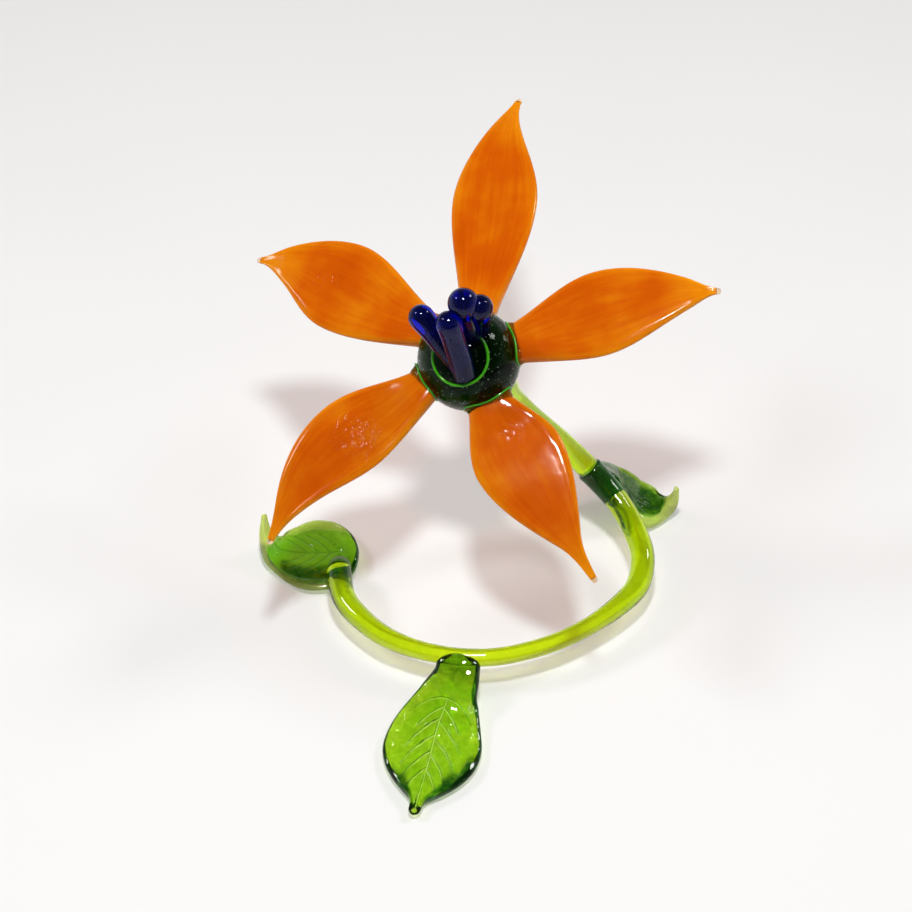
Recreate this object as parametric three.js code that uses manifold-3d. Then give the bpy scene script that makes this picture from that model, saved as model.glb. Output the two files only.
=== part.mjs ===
// Lampworked glass flower that stands on its leaves.
// Five pressed orange petals and four cobalt stamens are fused to a dark green ball.
// One lime rod carries the ball and bends into an open ring, and three leaves hold it up.
// Millimetres and degrees, +Z up. While it is built, the ball's centre is over X = Y = 0,
// the ground is Z = 0 and the front leaf points to -Y.

import * as THREE from 'three'
import { mergeVertices } from 'three/addons/utils/BufferGeometryUtils.js'
import Module from 'manifold-3d'

// Space left between pieces that are fused hot in the real flower
const seatClearance = 0.36

// Ball in the middle of the flower, and the way the flower faces
const ballDiameter = 24.6
const ballHeight = 61
const flowerTilt = 24.2
const flowerFacing = -115.3

// Petals, pressed flat while hot, each drawn out to a tip that ends in a small bead.
// turn goes round the flower's axis and lift is out of its plane. reach, widestAt and bowAt
// are taken from the ball's centre. bow is the sideways curve, and swing moves the root.
const petalThickness = 3.6
const petalNeckThickness = 6
const petalTipDiameter = 2.3
const petalArch = 1.4
const petals = {
  petal_top: {
    turn: 77.3, lift: -8.2, reach: 75.7, width: 20.9, widestAt: 43.5, neckWidth: 8.6,
    drawnLength: 9, drawnWidth: 6.8, bow: 1.9, bowAt: 61, swing: -0.1,
  },
  petal_right: {
    turn: 6.7, lift: 3.1, reach: 61.5, width: 21.5, widestAt: 33, neckWidth: 10.2,
    drawnLength: 8, drawnWidth: 8.2, bow: 2, bowAt: 42, swing: 0.6,
  },
  petal_lower_right: {
    turn: -66.6, lift: -9.8, reach: 61.5, width: 21.9, widestAt: 27, neckWidth: 11,
    drawnLength: 11.5, drawnWidth: 6.2, bow: -1, bowAt: 30, swing: -0.8,
  },
  petal_lower_left: {
    turn: -143, lift: -2.9, reach: 64.4, width: 19.9, widestAt: 33, neckWidth: 9,
    drawnLength: 9.5, drawnWidth: 6.4, bow: -5.2, bowAt: 42, swing: -2.8,
  },
  petal_left: {
    turn: 145.7, lift: -1.1, reach: 60.9, width: 23, widestAt: 36.5, neckWidth: 8.8,
    drawnLength: 8, drawnWidth: 9.4, bow: -2.8, bowAt: 46, swing: -2.2,
  },
}

// Stamens, short round rods with a melted round end, that start together on top of the ball.
// The foot is foot degrees from the flower's axis, and the rod leans away from that axis.
const stamenDiameter = 5.7
const stamens = {
  stamen_front: { foot: 28.6, footTurn: -93, lean: 25.8, leanTurn: 96, length: 15.9, endDiameter: 6.2 },
  stamen_left: { foot: 21, footTurn: -114, lean: 52, leanTurn: 127, length: 15.4, endDiameter: 6.2 },
  stamen_back: { foot: 12.5, footTurn: 35, lean: 10.5, leanTurn: 66, length: 15.8, endDiameter: 7.3 },
  stamen_right: { foot: 24.7, footTurn: 34, lean: 11.8, leanTurn: -2, length: 14.2, endDiameter: 6.3 },
}

// Rod: its ring lies level, opens at the back and rises on the right to the ball's underside.
// The ring's points are in plan, and a rise point has its share of the climb as well.
const ringHeight = 8.4
const ringPlan = [[-31.9, -20.8], [-30.4, -29.4], [-26.8, -35.2], [-19.8, -41.9],
  [-9.3, -46.6], [4.5, -48.1], [17.1, -45], [26.8, -40], [36.2, -32.3], [41.4, -25.4]]
const risePlan = [[42.9, -17.8, 0.04], [41.3, -10.7, 0.07], [37.7, -3.6, 0.125],
  [32, 2.2, 0.215], [23.1, 4.6, 0.44], [14.4, 3.1, 0.72]]
const seatTurn = 15
const seatDrop = 55
const rodEndDiameter = 6
const rodFrontDiameter = 4.3
const rodRiseDiameter = 5.9
const rodFlareDiameter = 9.6
const thinFrom = 0.25
const thinTo = 0.42
const risePlace = 0.57
const flareLength = 8

// Leaves, pressed with a flat underside that stands on the ground.
// place is the leaf's place along the rod. The spine's points go out from the rod's axis
// there, in plan, with the height of the leaf's middle over the ground.
const leafThickness = 4
const leafPress = 0.5
const leafDish = 0.5
const leaves = {
  leaf_front: {
    place: 0.251, width: 23.3, neckWidth: 11, neckThickness: 5.6, neckLength: 4.4, widestAt: 25.5,
    drawnLength: 5, drawnWidth: 6, tipDiameter: 2.9, baseLength: 1.2,
    bend: [[0, 0.2, 0.7], [-0.7, -4.2, -1.7], [-2.7, -8.6, -5.2]],
    blade: [[-5.4, -17, 0], [-7.3, -26.5, 0], [-9, -34, 0], [-10.8, -41.2, 0.3]],
  },
  leaf_left: {
    place: 0, width: 23, neckWidth: 20, neckThickness: 4.4, neckLength: 1, widestAt: 11,
    drawnLength: 9, drawnWidth: 9, tipDiameter: 2.6, baseLength: 7,
    bend: [],
    blade: [[4.4, 11.6, 1.6], [-2, 10.8, 0.2], [-7, 10.8, 0], [-12.8, 11.3, 0],
      [-16.8, 12.2, 1], [-18.6, 13.8, 4.4], [-19, 15.6, 10.2]],
  },
  leaf_right: {
    place: 0.729, width: 14.6, neckWidth: 10.2, neckThickness: 5.2, neckLength: 4, widestAt: 20,
    drawnLength: 9.5, drawnWidth: 9, tipDiameter: 2.6, baseLength: 1.2,
    bend: [[0.4, 1.6, -1.6], [2.2, 4, -3.8], [6, 5.2, -8.6]],
    blade: [[10, 4.6, 2.1], [13, 4, 0.4], [15.8, 3.6, 0], [18.2, 3.4, 1.2], [19.7, 3, 4.8],
      [20.2, 2.4, 9.4]],
  },
}

// Short round neck from the rod's free end to the left leaf's round base
const stubDiameter = 5.4
const stubPoints = [[0.1, 1, -0.2], [0.5, 5, -2], [-0.6, 8.2, -4.4], [-3.4, 10.2, -6.2]]

// Fineness of the lofted skins
const sectionPoints = 18
const rodPoints = 14
const bladeSteps = 22
const rodSteps = 58
const domeSteps = 3

const wasm = await Module()
wasm.setup()

const ballRadius = ballDiameter / 2
const up = new THREE.Vector3(0, 0, 1)

const radians = (degrees) => THREE.MathUtils.degToRad(degrees)

// Direction that is polar degrees from +Z, turned round Z
function direction(polar, turn) {
  return new THREE.Vector3().setFromSphericalCoords(1, radians(polar), radians(turn) + Math.PI / 2)
    .applyAxisAngle(new THREE.Vector3(1, 0, 0), Math.PI / 2)
}

// Solids: one closed skin becomes a solid that can be cut, and back again
function solid(geometry) {
  const bare = geometry.clone()
  bare.deleteAttribute('normal')
  bare.deleteAttribute('uv')
  const merged = mergeVertices(bare, 1e-4)
  const corners = []
  for (let i = 0; i < merged.index.count; i += 3) {
    const [a, b, c] = merged.index.array.slice(i, i + 3)
    if (a !== b && b !== c && c !== a) corners.push(a, b, c)
  }
  return new wasm.Manifold(new wasm.Mesh({
    numProp: 3,
    vertProperties: new Float32Array(merged.attributes.position.array),
    triVerts: new Uint32Array(corners),
  }))
}

// The main body that a cut leaves, without the crumbs on the far side of the cut
function largest(body) {
  return body.decompose().sort((a, b) => b.volume() - a.volume())[0]
}

function skin(body) {
  const mesh = body.getMesh()
  const geometry = new THREE.BufferGeometry()
  geometry.setAttribute('position', new THREE.BufferAttribute(mesh.vertProperties, 3))
  geometry.setIndex(new THREE.BufferAttribute(mesh.triVerts, 1))
  geometry.computeVertexNormals()
  return geometry
}

// Skin through closed rings of points, with a fan over each end
function loft(rings) {
  const around = rings[0].length
  const points = rings.flat()
  const faces = []
  for (let r = 0; r + 1 < rings.length; r++) {
    for (let k = 0; k < around; k++) {
      const a = r * around + k
      const b = r * around + (k + 1) % around
      faces.push(a, b, b + around, a, b + around, a + around)
    }
  }
  const first = points.length
  points.push(centroid(rings[0]), centroid(rings[rings.length - 1]))
  const last = (rings.length - 1) * around
  for (let k = 0; k < around; k++) {
    const next = (k + 1) % around
    faces.push(first, next, k)
    faces.push(first + 1, last + k, last + next)
  }
  const geometry = new THREE.BufferGeometry().setFromPoints(points)
  geometry.setIndex(faces)
  return geometry
}

function centroid(ring) {
  const sum = new THREE.Vector3()
  ring.forEach((point) => sum.add(point))
  return sum.divideScalar(ring.length)
}

// Smooth run of a size along a piece, through knots of place, size and slope
function smoothRun(knots) {
  return (place) => {
    if (place <= knots[0][0]) return knots[0][1]
    let i = 0
    while (i < knots.length - 2 && place > knots[i + 1][0]) i++
    const [x0, y0, m0] = knots[i]
    const [x1, y1, m1] = knots[i + 1]
    const span = x1 - x0
    const t = Math.min((place - x0) / span, 1)
    const ease = t * t * (3 - 2 * t)
    return y0 + (y1 - y0) * ease + span * m0 * t * (1 - t) ** 2 - span * m1 * t * t * (1 - t)
  }
}

// Places along a piece of this length, closer together over its round end and its base
function stations(length, endRadius, steps, baseLength = 0) {
  const straight = length - endRadius
  const places = Array.from({ length: steps + 1 }, (_, i) => straight * i / steps)
    .filter((place) => place > baseLength || baseLength === 0)
  if (baseLength) {
    for (let i = domeSteps; i >= 0; i--) places.unshift(baseLength * (1 - Math.cos(radians(90 * i / domeSteps))))
  }
  for (let i = 1; i <= domeSteps; i++) {
    places.push(straight + endRadius * Math.sin(radians(80 * i / domeSteps)))
  }
  return places
}

// Share of the full section that is left at a place within the round end
function domeShare(place, length, endRadius) {
  const past = Math.max(place - (length - endRadius), 0) / endRadius
  return Math.sqrt(Math.max(1 - past * past, 0))
}

// Pressed blade along a curve: a pillow section, as wide and thick as the runs say
function blade(curve, acrossAt, width, thickness, tipDiameter, dish, baseLength = 0) {
  const length = curve.getLength()
  const tipRadius = tipDiameter / 2
  const rings = stations(length, tipRadius, bladeSteps, baseLength).map((place) => {
    const at = Math.min(place / length, 1)
    const centre = curve.getPointAt(at)
    const along = curve.getTangentAt(at)
    const across = acrossAt(at)
    const side = across.addScaledVector(along, -across.dot(along)).normalize()
    const out = new THREE.Vector3().crossVectors(along, side)
    const share = domeShare(place, length, tipRadius)
    const base = baseLength ? domeShare(length - place, length, baseLength) : 1
    const halfWidth = width(place) / 2 * share * Math.max(base, 0.1)
    const halfThickness = thickness(place) / 2 * share * Math.max(base, 0.1) ** 0.5
    return Array.from({ length: sectionPoints }, (_, k) => {
      const angle = 2 * Math.PI * k / sectionPoints
      const x = pillow(Math.cos(angle))
      const y = pillow(Math.sin(angle))
      const hollow = dish * (halfWidth * x * x - halfWidth / 2) / Math.max(width(place) / 2, 1)
      return centre.clone()
        .addScaledVector(side, halfWidth * x)
        .addScaledVector(out, halfThickness * y + hollow)
    })
  })
  return loft(rings)
}

// Section between an ellipse and a rounded box
function pillow(value) {
  return Math.sign(value) * Math.abs(value) ** 0.82
}

// Ball, and the same ball with the clearance round it, which cuts what is fused to it
function ball(clearance, centre = new THREE.Vector3()) {
  const geometry = new THREE.SphereGeometry(ballRadius + clearance, 32, 20)
  geometry.translate(centre.x, centre.y, centre.z)
  return solid(geometry)
}

// Petal's middle line in the flower's own frame, from inside the ball to the tip
class PetalSpine extends THREE.Curve {
  constructor(petal) {
    super()
    this.petal = petal
    this.outward = direction(90 - petal.lift, petal.turn)
    this.sideways = direction(90, petal.turn + 90)
    this.face = new THREE.Vector3().crossVectors(this.outward, this.sideways)
    this.root = ballRadius - petalRootSink
  }

  getPoint(t, target = new THREE.Vector3()) {
    const { reach, bow, bowAt, swing } = this.petal
    const share = Math.max((t * (reach - this.root) + this.root - ballRadius) / (reach - ballRadius), 0)
    const skew = Math.log(0.5) / Math.log((bowAt - ballRadius) / (reach - ballRadius))
    const side = swing * (1 - share) ** 2 + bow * Math.sin(Math.PI * share ** skew)
    return target.set(0, 0, 0)
      .addScaledVector(this.outward, this.root + t * (reach - this.root))
      .addScaledVector(this.sideways, side)
      .addScaledVector(this.face, petalArch * Math.sin(Math.PI * share))
  }
}

// How far a petal starts inside the ball before the ball cuts it
const petalRootSink = 2.5

function petal(sizes) {
  const spine = new PetalSpine(sizes)
  const length = spine.getLength()
  const widest = sizes.widestAt - spine.root
  const drawn = length - sizes.drawnLength
  const open = (sizes.width - sizes.neckWidth) / (widest - petalRootSink)
  const close = (sizes.drawnWidth - sizes.width) / (drawn - widest)
  const tip = length - petalTipDiameter / 2
  const width = smoothRun([
    [petalRootSink, sizes.neckWidth, open],
    [widest, sizes.width, 0],
    [drawn, sizes.drawnWidth, 1.5 * close],
    [tip, petalTipDiameter, -0.2],
  ])
  const thickness = smoothRun([
    [petalRootSink, petalNeckThickness, 0],
    [widest * 0.7, petalThickness, 0],
    [drawn, petalThickness * 0.95, -0.05],
    [tip, petalTipDiameter, -0.02],
  ])
  const body = solid(blade(spine, () => spine.sideways.clone(), width, thickness, petalTipDiameter, 0.6))
  return body.subtract(ball(seatClearance))
}

// Stamen: a rod from inside the ball to a slightly fuller round end
function stamen(sizes, clearance) {
  const foot = direction(sizes.foot, sizes.footTurn).multiplyScalar(ballRadius)
  const lean = direction(sizes.lean, sizes.leanTurn)
  const start = foot.clone().addScaledVector(lean, -stamenRootSink)
  const length = sizes.length + stamenRootSink + clearance
  const endRadius = sizes.endDiameter / 2 + clearance
  const radius = smoothRun([
    [0, stamenDiameter / 2 + clearance, 0],
    [length * 0.6, stamenDiameter / 2 + clearance, 0],
    [length - endRadius, endRadius, 0],
  ])
  const side = new THREE.Vector3().crossVectors(lean, up).normalize()
  const out = new THREE.Vector3().crossVectors(lean, side)
  const rings = stations(length, endRadius, 5).map((place) => {
    const size = radius(place) * domeShare(place, length, endRadius)
    return Array.from({ length: rodPoints }, (_, k) => {
      const angle = 2 * Math.PI * k / rodPoints
      return start.clone()
        .addScaledVector(lean, place)
        .addScaledVector(side, size * Math.cos(angle))
        .addScaledVector(out, size * Math.sin(angle))
    })
  })
  return solid(loft(rings))
}

// How far a stamen starts inside the ball before the ball cuts it
const stamenRootSink = 3

// Rod's middle line, from its free end round the ring and up to the ball
const ballCentre = new THREE.Vector3(0, 0, ballHeight)
const seat = direction(90 + seatDrop, seatTurn).multiplyScalar(ballRadius).add(ballCentre)
const climb = seat.z - ringHeight
const rodCurve = new THREE.CatmullRomCurve3([
  ...ringPlan.map(([x, y]) => new THREE.Vector3(x, y, ringHeight)),
  ...risePlan.map(([x, y, share]) => new THREE.Vector3(x, y, ringHeight + share * climb)),
  seat,
  seat.clone().lerp(ballCentre, 0.4),
], false, 'centripetal')
rodCurve.arcLengthDivisions = 600

function rodDiameterRun(length) {
  const seatPlace = length - 0.4 * ballRadius
  return smoothRun([
    [0, rodEndDiameter, 0],
    [thinFrom * length, rodFrontDiameter, 0],
    [thinTo * length, rodFrontDiameter, 0],
    [risePlace * length, rodRiseDiameter, 0],
    [seatPlace - flareLength, rodRiseDiameter, 0],
    [seatPlace, rodFlareDiameter, 0.4],
    [length, rodFlareDiameter, 0],
  ])
}

function rod(clearance) {
  const length = rodCurve.getLength()
  const diameter = rodDiameterRun(length)
  const endRadius = rodEndDiameter / 2
  const frames = rodCurve.computeFrenetFrames(rodSteps, false)
  const rings = []
  for (let i = 0; i <= rodSteps; i++) {
    const place = length * i / rodSteps
    const centre = rodCurve.getPointAt(i / rodSteps)
    rings.push(ringRound(centre, frames.normals[i], frames.binormals[i], diameter(place) / 2 + clearance))
  }
  const along = frames.tangents[0]
  for (let i = 1; i <= domeSteps; i++) {
    const angle = radians(80 * i / domeSteps)
    const centre = rodCurve.getPointAt(0).addScaledVector(along, -(endRadius + clearance) * Math.sin(angle))
    const size = (endRadius + clearance) * Math.cos(angle)
    rings.unshift(ringRound(centre, frames.normals[0], frames.binormals[0], size))
  }
  return solid(loft(rings))
}

function ringRound(centre, side, out, radius) {
  return Array.from({ length: rodPoints }, (_, k) => {
    const angle = 2 * Math.PI * k / rodPoints
    return centre.clone()
      .addScaledVector(side, radius * Math.cos(angle))
      .addScaledVector(out, radius * Math.sin(angle))
  })
}

// Leaf: its neck wraps the rod, and its underside is pressed flat on the ground
function leaf(name, sizes) {
  const root = rodCurve.getPointAt(sizes.place)
  const rest = leafThickness / 2 - leafPress
  const curve = new THREE.CatmullRomCurve3([
    ...sizes.bend.map(([x, y, z]) => new THREE.Vector3(root.x + x, root.y + y, root.z + z)),
    ...sizes.blade.map(([x, y, z]) => new THREE.Vector3(root.x + x, root.y + y, rest + z)),
  ], false, 'centripetal')
  const length = curve.getLength()
  const acrossAt = (at) => up.clone().cross(curve.getTangentAt(Math.min(at, leafCurlPlace)))
  const drawn = length - sizes.drawnLength
  const tip = length - sizes.tipDiameter / 2
  const open = (sizes.width - sizes.neckWidth) / (sizes.widestAt - sizes.neckLength)
  const close = (sizes.drawnWidth - sizes.width) / (drawn - sizes.widestAt)
  const width = smoothRun([
    [0, sizes.neckWidth, 0],
    [sizes.neckLength, sizes.neckWidth, 0.8 * open],
    [sizes.widestAt, sizes.width, 0],
    [drawn, sizes.drawnWidth, 1.4 * close],
    [tip, sizes.tipDiameter, -0.2],
  ])
  const thickness = smoothRun([
    [0, sizes.neckThickness, 0],
    [sizes.widestAt * 0.6, leafThickness, 0],
    [drawn, leafThickness, 0],
    [tip, sizes.tipDiameter, -0.1],
  ])
  const { tipDiameter, baseLength } = sizes
  let body = solid(blade(curve, acrossAt, width, thickness, tipDiameter, leafDish, baseLength))
  if (name === 'leaf_left') body = body.add(stub(root))
  const ground = new THREE.BoxGeometry(400, 400, 40)
  ground.translate(0, 0, -20)
  return largest(body.subtract(rod(seatClearance)).subtract(solid(ground)))
}

// Share of the leaf after which the tip curls up without turning the blade
const leafCurlPlace = 0.66

function stub(root) {
  const curve = new THREE.CatmullRomCurve3(
    stubPoints.map(([x, y, z]) => new THREE.Vector3(root.x + x, root.y + y, root.z + z)),
  )
  const frames = curve.computeFrenetFrames(8, false)
  return solid(loft(frames.normals.map((normal, i) => (
    ringRound(curve.getPointAt(i / 8), normal, frames.binormals[i], stubDiameter / 2)
  ))))
}

// Glass colours
const glass = (color, opacity) => new THREE.MeshStandardMaterial({
  color, opacity, transparent: opacity < 1, roughness: 0.08, metalness: 0,
})

function piece(name, body, material) {
  const mesh = new THREE.Mesh(skin(body), material)
  mesh.name = name
  return mesh
}

// Flower, in a frame whose +Z is the flower's axis and whose origin is the ball's centre
const bloom = new THREE.Group()
const axis = direction(flowerTilt, flowerFacing)
const sideAxis = new THREE.Vector3(0, 1, 0).cross(axis).normalize()
bloom.quaternion.setFromRotationMatrix(
  new THREE.Matrix4().makeBasis(sideAxis, axis.clone().cross(sideAxis), axis),
)
bloom.position.copy(ballCentre)
bloom.add(piece('flower_centre', ball(0), glass(0x06260c, 0.9)))
for (const [name, sizes] of Object.entries(petals)) {
  bloom.add(piece(name, petal(sizes), glass(0xe2670c, 1)))
}
const earlier = []
for (const [name, sizes] of Object.entries(stamens)) {
  let body = stamen(sizes, 0).subtract(ball(seatClearance))
  earlier.forEach((other) => {
    body = body.subtract(stamen(other, seatClearance))
  })
  earlier.push(sizes)
  bloom.add(piece(name, body, glass(0x0b1f9c, 0.85)))
}

// Whole flower, moved so that the middle of its footprint is the origin
const assembly = new THREE.Group()
assembly.add(bloom)
assembly.add(piece('stem', rod(0).subtract(ball(seatClearance, ballCentre)), glass(0x9ad00a, 0.6)))
for (const [name, sizes] of Object.entries(leaves)) {
  assembly.add(piece(name, leaf(name, sizes), glass(0x3f9410, 0.7)))
}
const part = new THREE.Group()
part.add(assembly)
part.updateMatrixWorld(true)
const box = new THREE.Box3().setFromObject(assembly, true)
const middle = box.getCenter(new THREE.Vector3())
assembly.position.set(-middle.x, -middle.y, -box.min.z)

export default part
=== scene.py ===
"""Lampworked glass flower that stands on its pressed leaves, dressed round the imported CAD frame.

Sizes are millimetres and degrees, as in the part's source, and are turned into metres only where
a mesh is laid down. Two frames are used. The ground frame has the ball's centre over X = Y = 0
and the ground at Z = 0. The bloom frame has its origin at the ball's centre and +Z on the
flower's axis.
"""

import logging
import math
from bisect import bisect_right
from dataclasses import dataclass, field
from enum import Enum
from typing import Callable, Sequence

import bpy
from mathutils import Matrix, Vector, noise


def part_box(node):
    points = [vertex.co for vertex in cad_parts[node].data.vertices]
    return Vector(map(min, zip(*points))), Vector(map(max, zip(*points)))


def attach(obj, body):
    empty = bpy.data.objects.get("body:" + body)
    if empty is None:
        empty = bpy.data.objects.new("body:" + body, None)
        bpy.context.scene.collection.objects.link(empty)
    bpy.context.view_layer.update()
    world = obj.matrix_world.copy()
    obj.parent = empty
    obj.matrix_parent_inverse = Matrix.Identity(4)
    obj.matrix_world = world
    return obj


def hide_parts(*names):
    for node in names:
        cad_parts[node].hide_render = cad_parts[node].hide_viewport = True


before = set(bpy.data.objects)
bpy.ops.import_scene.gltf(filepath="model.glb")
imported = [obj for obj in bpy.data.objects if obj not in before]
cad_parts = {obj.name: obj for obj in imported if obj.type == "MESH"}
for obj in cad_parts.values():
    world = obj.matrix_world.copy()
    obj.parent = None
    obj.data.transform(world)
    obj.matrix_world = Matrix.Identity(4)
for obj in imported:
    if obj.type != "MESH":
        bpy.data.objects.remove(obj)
log = logging.getLogger("glass_flower")

Piece = bpy.types.Object
Finish = bpy.types.Material
Tree = bpy.types.NodeTree
Node = bpy.types.Node
Socket = bpy.types.NodeSocket
Pair = tuple[float, float]
Triple = tuple[float, float, float]
Patch = tuple[float, float, float, float, float]
Run = Callable[[float], float]
Mask = Callable[[float, float], float]

MM = 0.001
WHITE = "ffffff"
# Exponent of a blade's section: 1 would be an ellipse, and less is fuller at the edges.
SQUARENESS = 0.82
# Turn at which the last ring of a round end lies, just short of its pole.
LAST_TURN = 86
# Names of the UV map and of the attributes that the finishes read.
MARKS = "Marks"
CREASE = "crease"
PAINTED_SHADE = "pool"
PALE = "pale"
CHILL = "chill"
ROUND = "round"


class Slot(Enum):
    """The record's material slots."""

    PETAL = "petal_glass"
    CENTRE = "centre_glass"
    STAMEN = "stamen_glass"
    STEM = "stem_glass"
    LEAF = "leaf_glass"


# Small maths


def linear(code: str) -> tuple[float, float, float, float]:
    """Turns an sRGB hex colour into a linear one.

    Args:
        code: the colour, such as "e2670c".

    Returns:
        Red, green, blue and an alpha of 1.
    """
    shares = [int(code[i : i + 2], 16) / 255 for i in (0, 2, 4)]
    made = [s / 12.92 if s <= 0.04045 else ((s + 0.055) / 1.055) ** 2.4 for s in shares]
    return made[0], made[1], made[2], 1.0


def direction(polar: float, turn: float) -> Vector:
    """Direction that is polar degrees from +Z, turned by turn degrees round Z."""
    p, t = math.radians(polar), math.radians(turn)
    return Vector((math.sin(p) * math.cos(t), math.sin(p) * math.sin(t), math.cos(p)))


def ease(low: float, high: float, value: float) -> float:
    """Rises smoothly from 0 at low to 1 at high."""
    t = min(max((value - low) / (high - low), 0.0), 1.0)
    return t * t * (3 - 2 * t)


def window(low: float, high: float, soft: float, value: float) -> float:
    """Is 1 between low and high and 0 beyond them, and changes over soft on each side of both."""
    return ease(low - soft, low + soft, value) * (1 - ease(high - soft, high + soft, value))


def smooth_run(knots: Sequence[Triple]) -> Run:
    """Makes a size that runs smoothly along a piece.

    Args:
        knots: place, size and slope at each knot.

    Returns:
        The size at a place.
    """

    def run(place: float) -> float:
        """The size at this place."""
        if place <= knots[0][0]:
            return knots[0][1]
        i = 0
        while i < len(knots) - 2 and place > knots[i + 1][0]:
            i += 1
        (x0, y0, m0), (x1, y1, m1) = knots[i], knots[i + 1]
        span = x1 - x0
        t = min((place - x0) / span, 1)
        rise = t * t * (3 - 2 * t)
        return y0 + (y1 - y0) * rise + span * m0 * t * (1 - t) ** 2 - span * m1 * t * t * (1 - t)

    return run


def patches(boxes: Sequence[Patch]) -> Mask:
    """Makes a soft-edged mask over a blade.

    Args:
        boxes: each patch's first and last share along, first and last share across, and strength.

    Returns:
        How much a point is in a patch, from its shares along and across.
    """
    soft_along, soft_across = 0.05, 0.1

    def mask(along: float, across: float) -> float:
        """How much this point is in a patch."""
        most = 0.0
        for start, stop, left, right, strength in boxes:
            inside = strength * window(start, stop, soft_along, along)
            most = max(most, inside * window(left, right, soft_across, across))
        return most

    return mask


class Spine:
    """A middle line, read by the distance along it."""

    def __init__(self, points: Sequence[Vector]) -> None:
        """Measures the line through these close points."""
        self.points = list(points)
        self.places = [0.0]
        for a, b in zip(self.points, self.points[1:]):
            self.places.append(self.places[-1] + (b - a).length)
        self.length = self.places[-1]

    @classmethod
    def through(cls, knots: Sequence[Vector], fine: int = 40) -> "Spine":
        """Runs a centripetal Catmull-Rom curve through the knots.

        Args:
            knots: the points that the line passes.
            fine: steps between two knots.

        Returns:
            The line.
        """
        ends = [2 * knots[0] - knots[1], *knots, 2 * knots[-1] - knots[-2]]
        points = []
        for i in range(1, len(ends) - 2):
            p0, p1, p2, p3 = ends[i - 1 : i + 3]
            d0, d1, d2 = (
                max(math.sqrt((b - a).length), 1e-4) for a, b in ((p0, p1), (p1, p2), (p2, p3))
            )
            m1 = ((p1 - p0) / d0 - (p2 - p0) / (d0 + d1) + (p2 - p1) / d1) * d1
            m2 = ((p2 - p1) / d1 - (p3 - p1) / (d1 + d2) + (p3 - p2) / d2) * d1
            for s in range(fine):
                t = s / fine
                points.append(
                    p1 + m1 * t + (3 * (p2 - p1) - 2 * m1 - m2) * t**2
                    + (2 * (p1 - p2) + m1 + m2) * t**3
                )
        return cls([*points, knots[-1].copy()])

    def at(self, place: float) -> Vector:
        """The point at this distance, straight on past either end."""
        i = min(max(bisect_right(self.places, place) - 1, 0), len(self.points) - 2)
        a, b = self.points[i], self.points[i + 1]
        return a + (b - a) * ((place - self.places[i]) / (self.places[i + 1] - self.places[i]))

    def along(self, place: float) -> Vector:
        """The line's direction at this distance."""
        step = self.length * 0.004
        low, high = max(place - step, 0), min(place + step, self.length)
        return (self.at(high) - self.at(low)).normalized()


# Meshes


def hang_up(name: str, data: bpy.types.ID) -> Piece:
    """Puts an object with this data in the scene, at the origin."""
    made = bpy.data.objects.new(name, data)
    bpy.context.scene.collection.objects.link(made)
    return made


def lay(
    name: str, rings: Sequence[Sequence[Vector]], place: Matrix,
    marks: Sequence[Sequence[Pair]] | None = None,
    traits: dict[str, list[float]] | None = None,
) -> Piece:
    """Lays a closed skin through rings of points, with a fan over each end.

    Args:
        name: the piece's name.
        rings: points in millimetres, as many in each ring.
        place: turns millimetres into the frame's metres.
        marks: a UV mark for each point.
        traits: a value for each point, kept as an attribute of this name.

    Returns:
        The piece, smooth shaded.
    """
    around = len(rings[0])
    points = [p for ring in rings for p in ring]
    first, last = len(points), (len(rings) - 1) * around
    points += [sum(rings[0], Vector()) / around, sum(rings[-1], Vector()) / around]
    faces: list[tuple[int, ...]] = []
    for r in range(len(rings) - 1):
        for k in range(around):
            a, b = r * around + k, r * around + (k + 1) % around
            faces.append((a, b, b + around, a + around))
    for k in range(around):
        n = (k + 1) % around
        faces += [(first, n, k), (first + 1, last + k, last + n)]
    mesh = bpy.data.meshes.new(name)
    mesh.from_pydata([place @ p for p in points], [], faces)
    mesh.validate()
    mesh.shade_smooth()
    if marks:
        flat = [m for ring in marks for m in ring]
        flat += [marks[0][0], marks[-1][0]]
        layer = mesh.uv_layers.new(name=MARKS)
        for loop in mesh.loops:
            layer.data[loop.index].uv = flat[loop.vertex_index]
    for title, values in (traits or {}).items():
        held = mesh.attributes.new(title, "FLOAT", "POINT")
        held.data.foreach_set("value", [*values, values[0], values[-1]])
    return hang_up(name, mesh)


def dome(place: float, length: float, radius: float) -> float:
    """Share of the full section that is left at a place within a round end."""
    past = max(place - (length - radius), 0) / radius
    return math.sqrt(max(1 - past * past, 0))


def end_turns(count: int) -> list[float]:
    """Turns of the rings that close a round end, in radians from its widest section."""
    return [math.radians(LAST_TURN) * i / count for i in range(1, count + 1)]


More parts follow.
